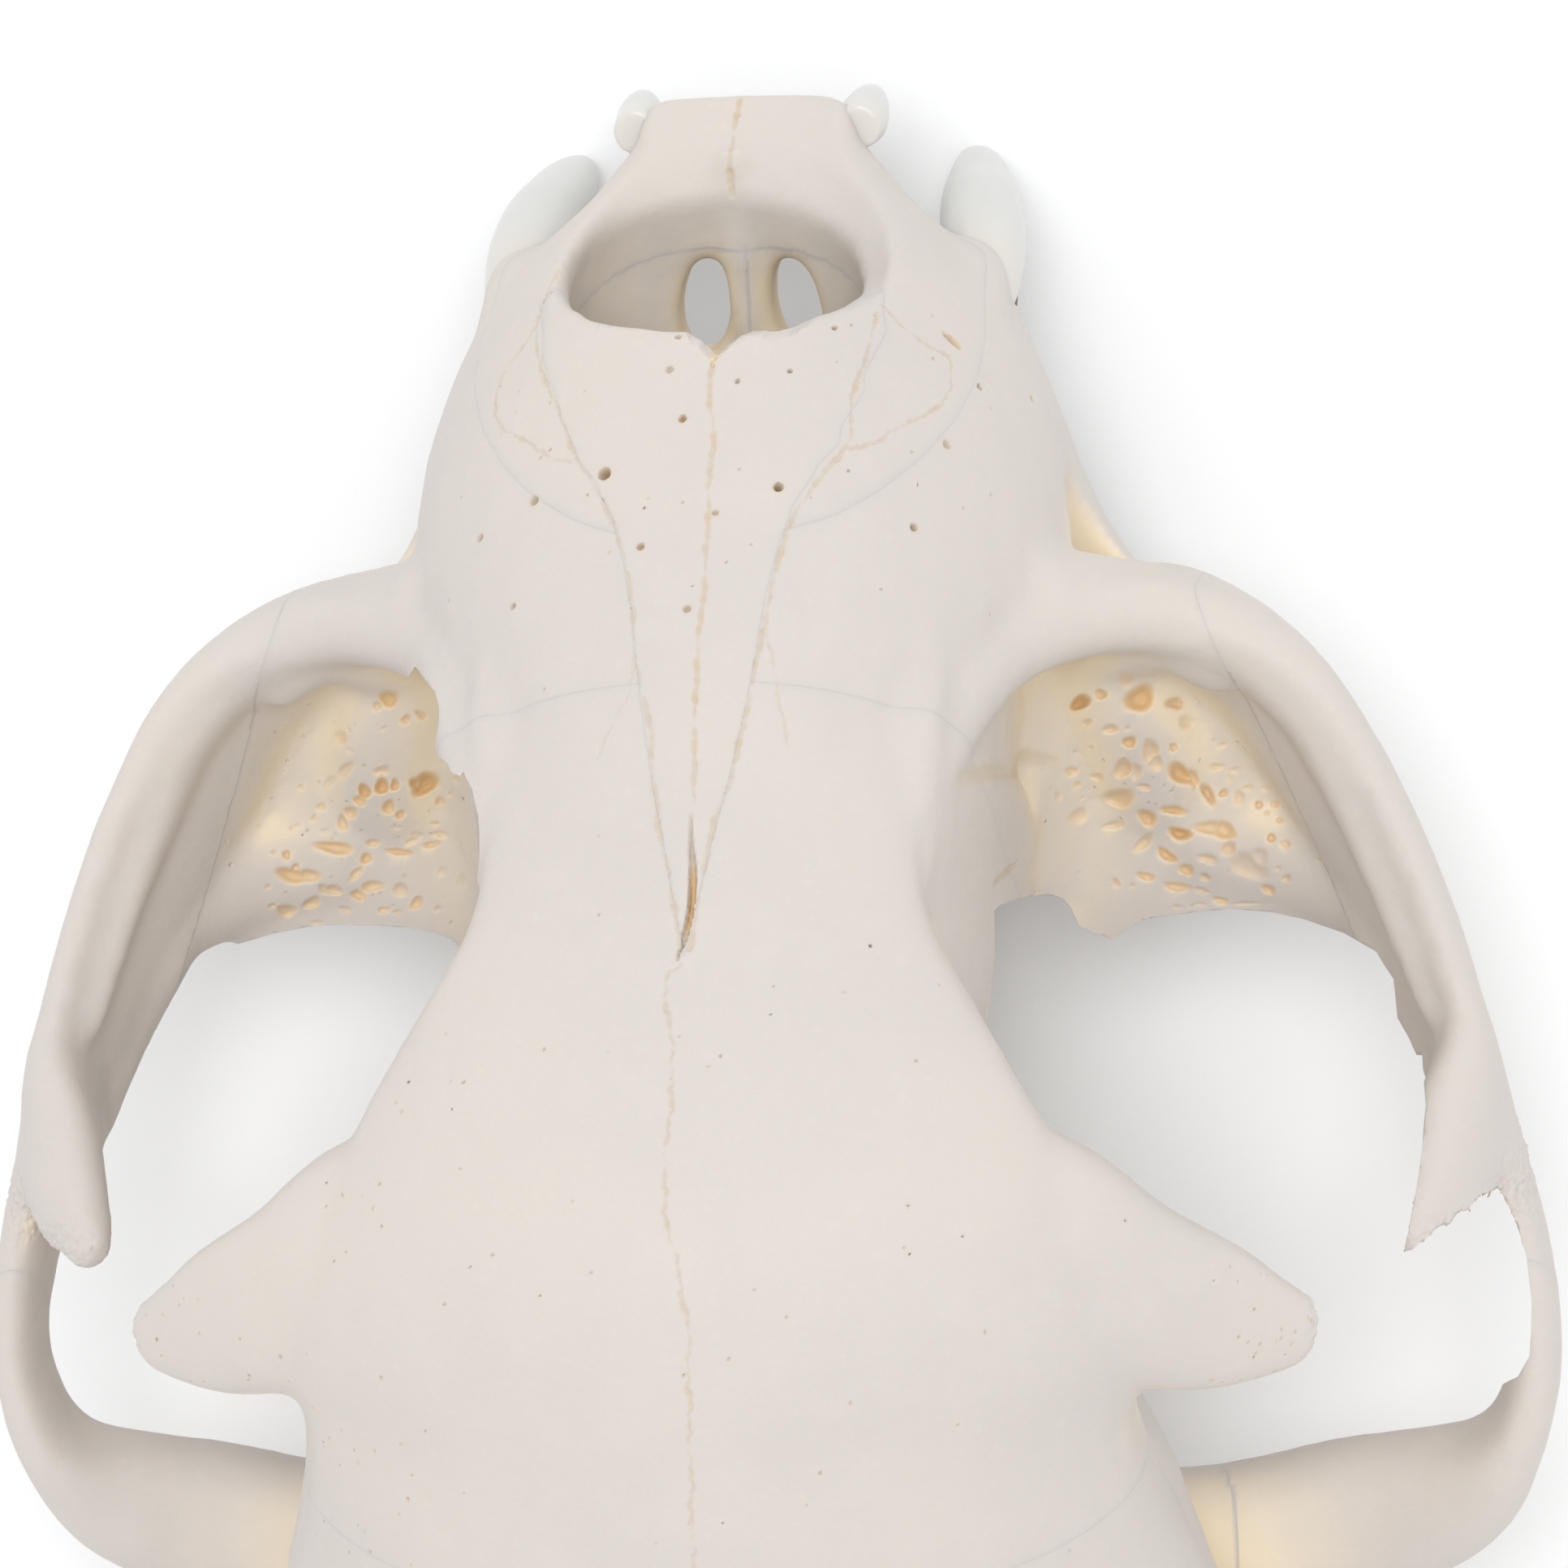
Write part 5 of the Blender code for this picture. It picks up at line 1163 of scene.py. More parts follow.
def carved_bone(bone, sizes, material):
    """The bone with finer faces near its marks, the shelter found by which warm light is painted into its
    hollows, and its details sunk in.
    """
    rows = mark_rows(bone, sizes)
    points, triangles = mesh_points(bone.data), mesh_triangles(bone.data)
    for reach in SPLIT_REACHES:
        near = distance_to_marks(points, rows) < reach
        near |= pitted(points, point_normals(points, triangles), 1.0)[1] > 0
        near |= rough_share(points) > SPLIT_ROUGH
        points, triangles = split_near(points, triangles, near)
    sunk, stain = pitted(points, point_normals(points, triangles), sizes.pit_depth / MM)
    points = points - sunk[:, None] * np.array(camera_axes()[2])
    # The pit value carries the pits' tan, partly their own colour and partly painted shade.
    bone.data = mesh_from_arrays("bone", points, triangles, {"pit": stain, "rough": rough_share(points)})
    run_tree(bone, shelter_tree(), {"Reach": SHELTER_REACH, "Material": material})
    marks = marks_object(rows)
    run_tree(bone, marks_tree(), {"Marks": marks, "Lumps": sizes.lumps / MM, "Material": material})
    bpy.data.objects.remove(marks)
    return bone


# The worn front edge of the nasal bones, as x and y, cut straight down between two heights.
NASAL_FRONT = [
    (-8.0, 5.6), (-6.4, 6.6), (-5.2, 7.3), (-4.0, 7.9), (-2.9, 8.2), (-1.8, 8.1), (-1.1, 8.35), (-0.6, 8.75),
    (-0.3, 9.1), (0.1, 8.7), (0.5, 8.3), (1.1, 7.85), (1.7, 7.75), (2.1, 7.5), (2.5, 7.6), (2.9, 7.35),
    (3.3, 7.6), (3.8, 7.75), (4.6, 7.75), (5.3, 7.4), (6.1, 7.2), (7.0, 6.2), (8.0, 5.4),
]
NASAL_FRONT_HEIGHTS = (12.0, 24.0)
NASAL_FRONT_WAVER = 0.035

# Worn edges, as x and y at one height, with how far their cut runs on below and above it along the camera's
# lines of sight: the rear edges of the two socket floors, the left brow, and the end of the right cheek bone.
WORN_EDGES = {
    "right_floor": (5.0, -5.5, 11.0, [
        (-7.9, 40.5), (-8.0, 38.9), (-8.45, 36.95), (-9.0, 36.0), (-9.7, 35.35), (-10.4, 35.1), (-11.2, 34.9),
        (-11.9, 34.9), (-12.45, 35.1), (-12.75, 35.5), (-12.9, 35.9), (-13.1, 36.35), (-13.35, 36.4),
        (-13.65, 36.6), (-14.0, 36.7), (-14.45, 36.95), (-14.7, 36.75), (-15.05, 36.5), (-15.6, 36.15),
        (-16.15, 35.95), (-17.0, 35.85), (-18.0, 35.75), (-19.5, 35.62), (-21.4, 35.8), (-22.6, 36.1),
        (-23.4, 36.4), (-24.4, 36.8), (-25.7, 37.6), (-26.4, 38.8), (-26.6, 41.5), (-12.0, 43.5),
    ]),
    "left_floor": (5.0, -5.5, 7.0, [
        (26.4, 41.5), (26.0, 38.6), (25.0, 37.4), (23.4, 36.65), (21.8, 36.2), (20.2, 35.9), (18.9, 35.85),
        (17.4, 35.9), (16.0, 36.0), (14.9, 36.2), (14.1, 36.55), (13.6, 37.2), (13.2, 40.5),
    ]),
    "left_brow": (20.0, -6.5, 11.0, [
        (12.3, 20.95), (12.02, 21.3), (11.5, 22.0), (11.38, 22.7), (11.43, 23.25), (11.5, 23.6),
        (11.65, 24.15), (11.76, 24.5), (11.6, 24.6), (11.45, 24.82), (11.25, 24.95), (11.15, 25.1),
        (11.05, 25.4), (10.95, 25.46), (10.84, 25.5), (10.68, 25.58), (10.55, 25.42), (10.48, 25.62),
        (10.24, 26.12), (10.14, 26.74), (10.03, 27.26), (10.02, 28.0), (10.07, 29.15), (10.22, 30.04),
        (10.69, 31.28), (12.2, 31.0), (11.5, 29.0), (11.5, 27.0), (12.0, 25.8), (13.0, 24.8), (12.9, 23.2),
        (12.75, 21.6),
    ]),
    "right_cheek_end": (15.0, -11.0, 9.0, [
        (-26.0, 39.1), (-28.1, 39.3), (-28.2, 41.5), (-27.95, 43.5), (-27.6, 45.7), (-27.1, 47.8),
        (-27.45, 47.7), (-27.9, 47.3), (-28.2, 47.1), (-28.5, 46.75), (-29.0, 46.6), (-29.4, 46.05),
        (-29.8, 45.95), (-30.3, 45.35), (-30.7, 45.25), (-31.1, 45.05), (-31.45, 45.7), (-31.9, 46.8),
        (-32.2, 48.1), (-32.35, 49.9), (-32.3, 51.5), (-32.2, 52.4), (-31.7, 53.3), (-30.5, 53.9),
        (-28.5, 53.4), (-25.5, 49.8),
    ]),
}


def trimmed(bone):
    """The bone with its worn edges cut ragged."""
    draw = np.random.default_rng(5)
    line = evenly_along([(x, y, 0.0) for x, y in NASAL_FRONT], 0.25)
    line[:, 1] += draw.normal(0.0, NASAL_FRONT_WAVER, len(line))
    outline = [(-8.0, -3.0)] + [(x, y) for x, y, _ in line] + [(8.0, -3.0)]
    up = Vector((0.0, 0.0, 1.0))
    low, high = NASAL_FRONT_HEIGHTS
    combined(bone, prism("nasal_front", outline, lambda p: p + up * low, lambda p: p + up * high), "DIFFERENCE")
    for name, (height, below, above, edge) in WORN_EDGES.items():
        def carried(away, level=height):
            return lambda p: (p + up * level).lerp(Vector(CAMERA_PLACE), away / (CAMERA_PLACE[2] - level))
        combined(bone, prism(name, edge, carried(below), carried(above)), "DIFFERENCE")
    return bone


# Parting the bone, with blades so thin that their gaps can't be seen, laid where the named bones meet.

BLADE = 0.003

# The edge of the nasal bones on the left side: x, y and z on the surface of the muzzle, then x and z
# where the cut comes out into the hollow of the nose.
NASAL_EDGE = [
    (9.6, 5.0, 12.6, 4.5, 9.5), (7.2, 8.2, 14.5, 4.2, 9.5), (5.75, 11.9, 19.0, 4.2, 13.0),
    (3.9, 14.2, 22.0, 3.2, 15.5), (2.85, 17.2, 24.0, 2.5, 17.5), (2.3, 20.4, 25.9, 2.1, 19.5),
    (1.55, 23.9, 28.5, 1.4, 22.0), (1.05, 25.7, 29.5, 1.0, 23.0), (0.55, 27.8, 31.0, 0.5, 24.0),
    (0.0, 30.0, 32.0, 0.0, 25.0),
]

# The sheet between the two upper jaw bones, as y and z. It stays below the nasal and frontal bones.
MIDLINE = [(2.2, -5.0), (31.1, -5.0), (31.1, 8.5), (36.3, 8.5), (24.3, 21.8), (14.0, 9.0), (7.0, 4.9)]


def nasal_blade():
    """A folded sheet round the nasal bones, reaching from above them into the hollow of the nose."""
    left = [tuple(row) for row in smooth_rows(NASAL_EDGE, 18)]
    right = [(-x, y, z, -deep_x, deep_z) for x, y, z, deep_x, deep_z in reversed(left[:-1])]
    bm = bmesh.new()
    rows = []
    for x, y, z, deep_x, deep_z in left + right:
        edge = Vector((x, y, z))
        deep = Vector((deep_x, y, deep_z))
        rows.append((bm.verts.new(edge + (edge - deep) * 0.5), bm.verts.new(deep)))
    for here, there in zip(rows, rows[1:]):
        bm.faces.new((here[0], here[1], there[1], there[0]))
    blade = object_from_bmesh("nasal_blade", bm)
    return modified(blade, "SOLIDIFY", thickness=BLADE, offset=0.0, use_even_offset=True)


def midline_blade():
    def beside(x):
        return lambda p: Vector((x, p.x, p.y))

    return prism("midline_blade", MIDLINE, beside(-BLADE / 2), beside(BLADE / 2))


def suture_blades():
    gap = BLADE
    yield block("incisor_bone_back", (0, 9.34, 9.36), (30.0, gap, 33.0), (-25.2, 0, 0))
    yield midline_blade()
    yield block("brow_front", (0, 28.8, 16.45), (34.0, gap, 26.5), (42.5, 0, 0))
    yield block("brow_back", (0, 51.4, 25.2), (56.0, gap, 35.0), (-18.0, 0, 0))
    yield block("palatine_front", (0, 31.0, 1.3), (18.4 + gap, gap, 14.6))
    yield block("palatine_top", (0, 42.5, 8.6), (18.4 + gap, 23.0 + gap, gap))
    yield block("palatine_back", (0, 54.0, 6.3), (18.4 + gap, gap, 4.6 + gap))
    yield block("nape", (0, 81.25, 16.5), (52.0, gap, 34.0), (-9.5, 0, 0))
    for name, side in SIDES:
        yield block(f"palatine_side_{name}", (9.2 * side, 36.0, 1.3), (gap, 10.0 + gap, 14.6))
        yield block(f"cheek_{name}", (21.95 * side, 27.8, 7.5), (gap, 23.0, 20.0), (0, 0, -20.1 * side))
        yield block(f"arch_{name}", (32.2 * side, 50.2, 12.4), (9.0, gap, 13.0), (38.0, 0, 0))
        yield block(f"temple_{name}", (18.35 * side, 59.4, 9.25), (gap, 11.7, 14.3), (0, 18.4 * side, 0))
        yield block(f"jaw_joint_back_{name}", (22.6 * side, 65.2, 6.5), (12.4, gap, 10.0))
        yield block(f"ear_capsule_top_{name}", (10.6 * side, 69.4, 5.3), (12.4, 20.2, gap))
        yield block(f"ear_ring_top_{name}", (18.6 * side, 72.35, 5.3), (5.2, 14.3, gap))


NASAL_POINT = (0.0, 15.0, 21.0)

# A point near the surface of each other bone, by which the parted pieces are named.
BONES = {
    "premaxilla": (0.0, 2.4, 1.4),
    "frontal_bone": (0.0, 42.0, 38.0),
    "braincase": (0.0, 66.0, 36.0),
    "occipital_bone": (0.0, 87.5, 22.0),
    "palatine_pterygoid": (0.0, 34.0, 1.2),
}
PAIRED_BONES = {
    "maxilla": (12.0, 15.0, 9.0),
    "zygomatic": (29.0, 34.0, 10.0),
    "squamosal": (32.6, 55.0, 12.8),
    "bulla": (11.6, 69.5, -3.0),
}

# A loose surface with fewer points than this is a crumb of a cut.
CRUMB_POINTS = 60

# Edges that turn more than this stay sharp where the surface is shaded smooth.
SHARP_DEG = 62


def bone_points():
    points = dict(BONES)
    for name, (x, y, z) in PAIRED_BONES.items():
        for suffix, side in SIDES:
            points[f"{name}_{suffix}"] = (x * side, y, z)
    return points


def loose_objects(obj):
    """The object split into one object for each closed surface that isn't a mere crumb."""
    before = set(bpy.data.objects)
    bpy.ops.object.select_all(action="DESELECT")
    obj.select_set(True)
    bpy.context.view_layer.objects.active = obj
    bpy.ops.object.mode_set(mode="EDIT")
    bpy.ops.mesh.select_all(action="SELECT")
    bpy.ops.mesh.separate(type="LOOSE")
    bpy.ops.object.mode_set(mode="OBJECT")
    parts = [obj] + [made for made in bpy.data.objects if made not in before]
    for crumb in [part for part in parts if len(part.data.vertices) < CRUMB_POINTS]:
        parts.remove(crumb)
        bpy.data.objects.remove(crumb)
    return parts


def nearest_object(parts, point):
    def away(part):
        return np.linalg.norm(mesh_points(part.data) - np.array(point), axis=1).min()

    return min(parts, key=away)


def union_of(blades):
    whole = None
    for blade in blades:
        whole = combined(whole, blade, "UNION") if whole else blade
    return whole


def parted_bones(bone):
    """One object for each named bone, cut from the whole along its sutures."""
    parts = loose_objects(combined(bone, nasal_blade(), "DIFFERENCE"))
    nasal = nearest_object(parts, NASAL_POINT)
    rest = nearest_object(parts, BONES["frontal_bone"])
    if nasal is rest:
        raise RuntimeError("the nasal bones didn't come free")
    for crumb in parts:
        if crumb not in (nasal, rest):
            bpy.data.objects.remove(crumb)
    parts = loose_objects(combined(rest, union_of(suture_blades()), "DIFFERENCE"))
    bones = {"nasal_bones": nasal}
    for name, point in bone_points().items():
        bones[name] = nearest_object(parts, point)
    whole = list(bones.values())
    joined_up = [name for name, part in bones.items() if whole.count(part) > 1]
    if joined_up:
        raise RuntimeError(f"these named bones are still one piece: {joined_up}")
    for crumb in parts:
        if crumb not in bones.values():
            bpy.data.objects.remove(crumb)
    return bones


def set_piece(name, obj, nodes, material):
    """Sets a piece down in the part's place, dresses it, and ties it to what it stands for."""
    obj.name = name
    obj.data.name = name
    obj.data.transform(set_down_matrix())
    obj.data.materials.clear()
    obj.data.materials.append(material)
    obj.data.shade_smooth()
    obj.data.set_sharp_from_angle(angle=math.radians(SHARP_DEG))
    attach(obj, "root")
    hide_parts(*nodes)


# Teeth.

# Each cusp is x, y, z of its foot, half length, half width, height, and how far its tip leans in x and y.
INCISORS = [
    (0.9, 1.9, 0.0, 0.6, 0.62, 1.4, 0.05, -0.1),
    (2.5, 2.0, 0.0, 0.65, 0.72, 1.6, 0.1, -0.1),
    (4.75, 2.1, 0.6, 1.1, 1.1, 2.9, 0.2, -0.75),
]

# The canine's path from its root to its tip. Its first rows lie in the socket.
CANINE_PATH = [
    (9.9, 9.6, 5.2, 1.2, 1.1, 0), (9.9, 8.7, 3.2, 1.65, 1.5, 0), (9.7, 7.7, 1.0, 1.95, 1.8, 0),
    (9.45, 6.9, -1.2, 1.95, 1.8, 0), (9.2, 6.4, -3.4, 1.75, 1.65, 0), (9.0, 5.9, -5.4, 1.4, 1.35, 0),
    (8.75, 5.5, -7.2, 0.95, 0.95, 0), (8.6, 5.35, -8.2, 0.5, 0.5, 0),
]
SOCKET_ROWS = 4
SOCKET_PLAY = 0.12

# The sizes at which the teeth are drawn, in millimetres.
DRAWN_CANINE_LENGTH = 9.2
DRAWN_CANINE_WIDTH = 3.7
DRAWN_CROWN_HEIGHT = 5.2

# Where the rings of a cusp stand, as shares of its height. The first ones are its root.
CUSP_RINGS = (-0.5, -0.25, 0.0, 0.2, 0.4, 0.6, 0.78, 0.9, 0.97)
CUSP_ROOT = 3.0

# Between which heights each kind of tooth turns from crown to neck.
CANINE_NECK = (0.8, 3.4)
INCISOR_NECK = (-0.2, 1.2)
CHEEK_NECK = (-0.3, 1.0)

TOOTH_SOFTENING = 10


def cusp(name, side, x, y, z, half_length, half_width, height, lean_x, lean_y, sides=20):
    """A pointed crown with its root sunk in the bone above it."""
    along_ring, across = ring_offsets(sides, 2.0)
    rings = []
    for drop in CUSP_RINGS:
        reach = math.sqrt(max(0.0, 1 - max(drop, 0.0) ** 1.7)) if drop > 0 else 1.0 + 0.25 * drop
        middle = np.array([x + lean_x * max(drop, 0), y + lean_y * max(drop, 0), z - height * drop])
        if drop < 0:
            middle[2] = z - CUSP_ROOT * drop
        ring = np.zeros((sides, 3))
        ring[:, 0] = along_ring * half_width * reach
        ring[:, 1] = across * half_length * reach
        rings.append((middle + ring) * np.array([side, 1.0, 1.0]))
    return object_from_rings(name, rings)


def canine(name, side, sizes, grown=0.0):
    """A canine, or where it is grown, the body that its socket is cut with."""
    stretch = sizes.canine_length / MM / DRAWN_CANINE_LENGTH
    thick = sizes.canine_width / MM / DRAWN_CANINE_WIDTH
    rows = [
        (x, y, z if z > 0 else z * stretch, a * thick + grown, b * thick + grown, lean)
        for x, y, z, a, b, lean in CANINE_PATH
    ]
    if grown:
        x, y, z, *rest = rows[0]
        rows = [(x, y + 0.4 * grown, z + grown, *rest), *rows[1:SOCKET_ROWS]]
    return swept_form(name, rows, side=side, across=(0, 1, 0), steps=44, sides=40, rounding=0.3)


def crown(name, side, rows):
    """A blade-like crown."""
    full = [(y, half, 0.9, 1.6, drop, x) for y, half, x, drop in rows]
    return lengthwise_form(name, full, side=side, steps=60, sides=40, squareness=1.55, rounding=0.35)


# The two blade-like crowns, as y, half width, x, and how far the cutting edge hangs down.
PREMOLAR = [
    (15.0, 0.5, 11.6, 0.3), (15.7, 0.9, 11.75, 1.3), (16.4, 1.15, 11.9, 1.5), (17.2, 1.4, 12.1, 3.1),
    (17.9, 1.5, 12.3, 4.2), (18.6, 1.4, 12.5, 2.9), (19.3, 1.35, 12.8, 2.0), (20.0, 1.2, 13.0, 2.2),
    (20.8, 0.9, 13.2, 1.2), (21.2, 0.5, 13.3, 0.4),
]
SHEARING_TOOTH = [
    (21.3, 0.6, 13.4, 0.5), (21.9, 1.1, 13.6, 2.0), (22.6, 1.2, 13.8, 2.3), (23.3, 1.4, 14.2, 3.1),
    (24.2, 1.6, 14.6, 4.9), (25.0, 1.55, 15.0, 5.4), (25.8, 1.35, 15.4, 4.1), (26.6, 1.15, 15.7, 3.0),
    (27.6, 1.15, 16.0, 3.4), (28.8, 1.15, 16.3, 3.9), (29.9, 1.0, 16.5, 3.4), (30.7, 0.6, 16.6, 1.2),
]
SMALL_CUSPS = {
    "peg": (11.0, 13.4, 0.9, 0.85, 0.7, 1.5, 0.0, 0.1),
    "inner_lobe": (13.0, 23.0, 0.9, 1.2, 1.3, 2.2, -0.2, 0.1),
    "back_molar_outer": (16.1, 31.8, 1.0, 0.9, 1.0, 1.5, 0.0, 0.2),
    "back_molar_inner": (14.7, 32.0, 1.0, 0.75, 1.1, 1.1, 0.0, 0.2),
}


def tooth_mesh(name, forms, sizes, neck):
    """Crowns fused and softened, with a value that is one at the neck and nothing on the crown."""
    teeth = smoothed(fused(joined(name, forms), sizes.fineness / MM), TOOTH_SOFTENING)
    height = mesh_points(teeth.data)[:, 2]
    write_values(teeth.data, {"neck": np.clip((height - neck[0]) / (neck[1] - neck[0]), 0, 1)})
    return teeth


# Materials.


def painted(name):
    material = bpy.data.materials.new(name)
    material.use_nodes = True
    tree = material.node_tree
    return material, tree, tree.nodes["Principled BSDF"]


def set_constants(shader, values):
    for name, value in values.items():
        shader.inputs[name].default_value = value


def blend(tree, factor, first, second):
    """The first colour, blended towards the second by the factor."""
    colours = [c if isinstance(c, bpy.types.NodeSocket) else (*c, 1.0) for c in (first, second)]
    inputs = {0: factor, 6: colours[0], 7: colours[1]}
    return node(tree, "ShaderNodeMix", inputs, data_type="RGBA").outputs[2]


def painted_share(tree, name):
    return node(tree, "ShaderNodeAttribute", attribute_name=name).outputs["Fac"]


def bone_material(finish):
    """Clean bleached bone: a faint mottle, painted warm light in hollows and under edges, tan in sutures,
    painted shade in openings and pores, and pits tan partly of their own and partly by painted shade.
    """
    material, tree, shader = painted("bleached bone")
    place = node(tree, "ShaderNodeTexCoord").outputs["Object"]
    cloud = noise_of(tree, place, 70.0)
    mottle = noise_of(tree, place, 420.0, detail=3.0, roughness=0.6)
    fleck = noise_of(tree, place, 2600.0)
    warm = tuple(a * 0.86 + b * 0.14 for a, b in zip(finish.bone, finish.tan_and_painted_hollow_light))
    pale = tuple(min(1.0, c * 1.035) for c in finish.bone)
    base = blend(tree, ramp(tree, cloud, 0.35, 0.7), finish.bone, warm)
    base = blend(tree, ramp(tree, mottle, 0.45, 0.75, 0.0, 0.7), base, pale)
    base = blend(tree, ramp(tree, fleck, 0.52, 0.8, 0.0, 0.07), base, finish.tan_and_painted_hollow_light)
    # Painted warm light: the higher the shelter of a point, the more it turns to the warm tan, standing for
    # bounced light and light shone through the bone.
    shelter = ramp(tree, painted_share(tree, "shelter"), 0.03, 0.38)
    base = blend(tree, shelter, base, finish.tan_and_painted_hollow_light)
    stain = product(tree, painted_share(tree, "stain"), ramp(tree, mottle, 0.2, 0.6, 0.45, 1.0))
    base = blend(tree, stain, base, finish.suture)
    # Painted shade: openings and pores turn to the pore colour by their depth. The pits turn to it by their
    # value, partly their own tan and partly painted shade.
    hollow = ramp(tree, painted_share(tree, "hollow"), 0.15, 0.95, 0.0, 0.85)
    base = blend(tree, hollow, base, finish.pore_tan_and_painted_shade)
    base = blend(tree, product(tree, painted_share(tree, "pit"), 0.9), base, finish.pore_tan_and_painted_shade)
    base = blend(tree, painted_share(tree, "speck"), base, finish.speck)
    tree.links.new(base, shader.inputs["Base Color"])
    dull = finish.bone_roughness
    rough = ramp(tree, mottle, 0.3, 0.75, dull - 0.07, dull + 0.08)
    tree.links.new(rough, shader.inputs["Roughness"])
    grain = noise_of(tree, place, 3600.0, detail=3.0, roughness=0.6)
    dents = noise_of(tree, place, 900.0)
    height = maths(tree, "ADD", product(tree, grain, 0.35), dents)
    bump = node(tree, "ShaderNodeBump", {"Strength": 0.22, "Distance": 0.00012, "Height": height})
    tree.links.new(bump.outputs[0], shader.inputs["Normal"])
    set_constants(shader, {
        "Specular IOR Level": 0.32, "Subsurface Weight": 0.12, "Subsurface Radius": (1.0, 0.7, 0.45),
        "Subsurface Scale": 0.0012,
    })
    return material


def enamel_material(finish):
    """Tooth enamel: cool, smooth and a little translucent, warmer towards the neck."""
    material, tree, shader = painted("tooth enamel")
    place = node(tree, "ShaderNodeTexCoord").outputs["Object"]
    stretched = node(tree, "ShaderNodeMapping", {"Vector": place, "Scale": (1.0, 1.0, 0.18)}).outputs[0]
    streak = noise_of(tree, stretched, 900.0)
    cloud = maths(tree, "SUBTRACT", noise_of(tree, place, 500.0), 0.5)
    greyer = tuple(c * 0.975 for c in finish.enamel)
    base = blend(tree, ramp(tree, streak, 0.4, 0.75), finish.enamel, greyer)
    neck = maths(tree, "ADD", painted_share(tree, "neck"), product(tree, cloud, 0.5))
    base = blend(tree, ramp(tree, neck, 0.1, 1.0), base, finish.enamel_foot)
    tree.links.new(base, shader.inputs["Base Color"])
    set_constants(shader, {
        "Roughness": finish.enamel_roughness, "Specular IOR Level": 0.5, "Subsurface Weight": 0.3,
        "Subsurface Radius": (0.9, 0.85, 0.75), "Subsurface Scale": 0.0014,
    })
    return material


def floor_material(look):
    """A plain pale floor with the faintest evenness broken by a slow cloud."""
    material, tree, shader = painted("pale floor")
    place = node(tree, "ShaderNodeTexCoord").outputs["Object"]
    cloud = noise_of(tree, place, 6.0, detail=1.0)
    shade = tuple(c * 0.99 for c in look.floor)
    tree.links.new(blend(tree, cloud, look.floor, shade), shader.inputs["Base Color"])
    set_constants(shader, {"Roughness": 0.9, "Specular IOR Level": 0.1})
    return material


def enamel_of(scene):
    return bpy.data.materials.get("tooth enamel") or enamel_material(scene.skull_finish)


# Operators: the bones, the teeth and the stage.


class SKULL_OT_bones(bpy.types.Operator):
    """Fuse, carve and part the bones of the skull"""

    bl_idname = "skull.bones"
    bl_label = "Bones"

    def execute(self, context):
        scene = context.scene
        material = bone_material(scene.skull_finish)
        bone = carved_bone(trimmed(whole_bone(scene.skull_bone)), scene.skull_bone, material)
        bones = parted_bones(bone)
        for name, side in SIDES:
            socket = canine(f"socket_{name}", side, scene.skull_teeth, SOCKET_PLAY)
            combined(bones[f"maxilla_{name}"], socket, "DIFFERENCE")
        for name, obj in bones.items():
            set_piece(f"bone_{name}", obj, [name], material)
        return {"FINISHED"}


class SKULL_OT_canines(bpy.types.Operator):
    """Make the two canines"""

    bl_idname = "skull.canines"
    bl_label = "Canines"

    def execute(self, context):
        scene = context.scene
        material = enamel_of(scene)
        for name, side in SIDES:
            form = canine("form", side, scene.skull_teeth)
            tooth = tooth_mesh(f"canine_{name}", [form], scene.skull_teeth, CANINE_NECK)
            set_piece(f"tooth_canine_{name}", tooth, [f"canine_{name}"], material)
        return {"FINISHED"}


class SKULL_OT_incisors(bpy.types.Operator):
    """Make the six incisors"""

    bl_idname = "skull.incisors"
    bl_label = "Incisors"

    def execute(self, context):
        scene = context.scene
        material = enamel_of(scene)
        for name, side in SIDES:
            crowns = [cusp(f"incisor_{number}", side, *row) for number, row in enumerate(INCISORS)]
            row = tooth_mesh(f"incisors_{name}", crowns, scene.skull_teeth, INCISOR_NECK)
            set_piece(f"teeth_incisors_{name}", row, ["premaxilla"], material)
        return {"FINISHED"}


class SKULL_OT_cheek_teeth(bpy.types.Operator):
    """Make the cheek teeth: a peg, a premolar, the large shearing tooth and a small molar on each side"""

    bl_idname = "skull.cheek_teeth"
    bl_label = "Cheek teeth"

    def execute(self, context):
        scene = context.scene
        material = enamel_of(scene)
        taller = scene.skull_teeth.crown_height / MM / DRAWN_CROWN_HEIGHT
        shearing = [(y, half, x, drop * taller) for y, half, x, drop in SHEARING_TOOTH]
        for name, side in SIDES:
            crowns = [crown("premolar", side, PREMOLAR), crown("shearing_tooth", side, shearing)]
            crowns += [cusp(label, side, *row) for label, row in SMALL_CUSPS.items()]
            row = tooth_mesh(f"cheek_teeth_{name}", crowns, scene.skull_teeth, CHEEK_NECK)
            set_piece(f"teeth_cheek_{name}", row, [f"maxilla_{name}"], material)
        return {"FINISHED"}


# The stage, in metres: half the floor's width, and the large soft light.
FLOOR_HALF = 1.6
LIGHT_PLACE = (-0.06, -0.31, 0.95)
LIGHT_AIM = (0.0, 0.0, 0.02)
LIGHT_SIZE = 0.5


def camera_matrix():
    """The camera's place in the part's frame."""
    down = set_down_matrix()
    turn = down.to_3x3().normalized() @ Matrix(camera_axes()).transposed()
    return Matrix.Translation(down @ Vector(CAMERA_PLACE)) @ turn.to_4x4()


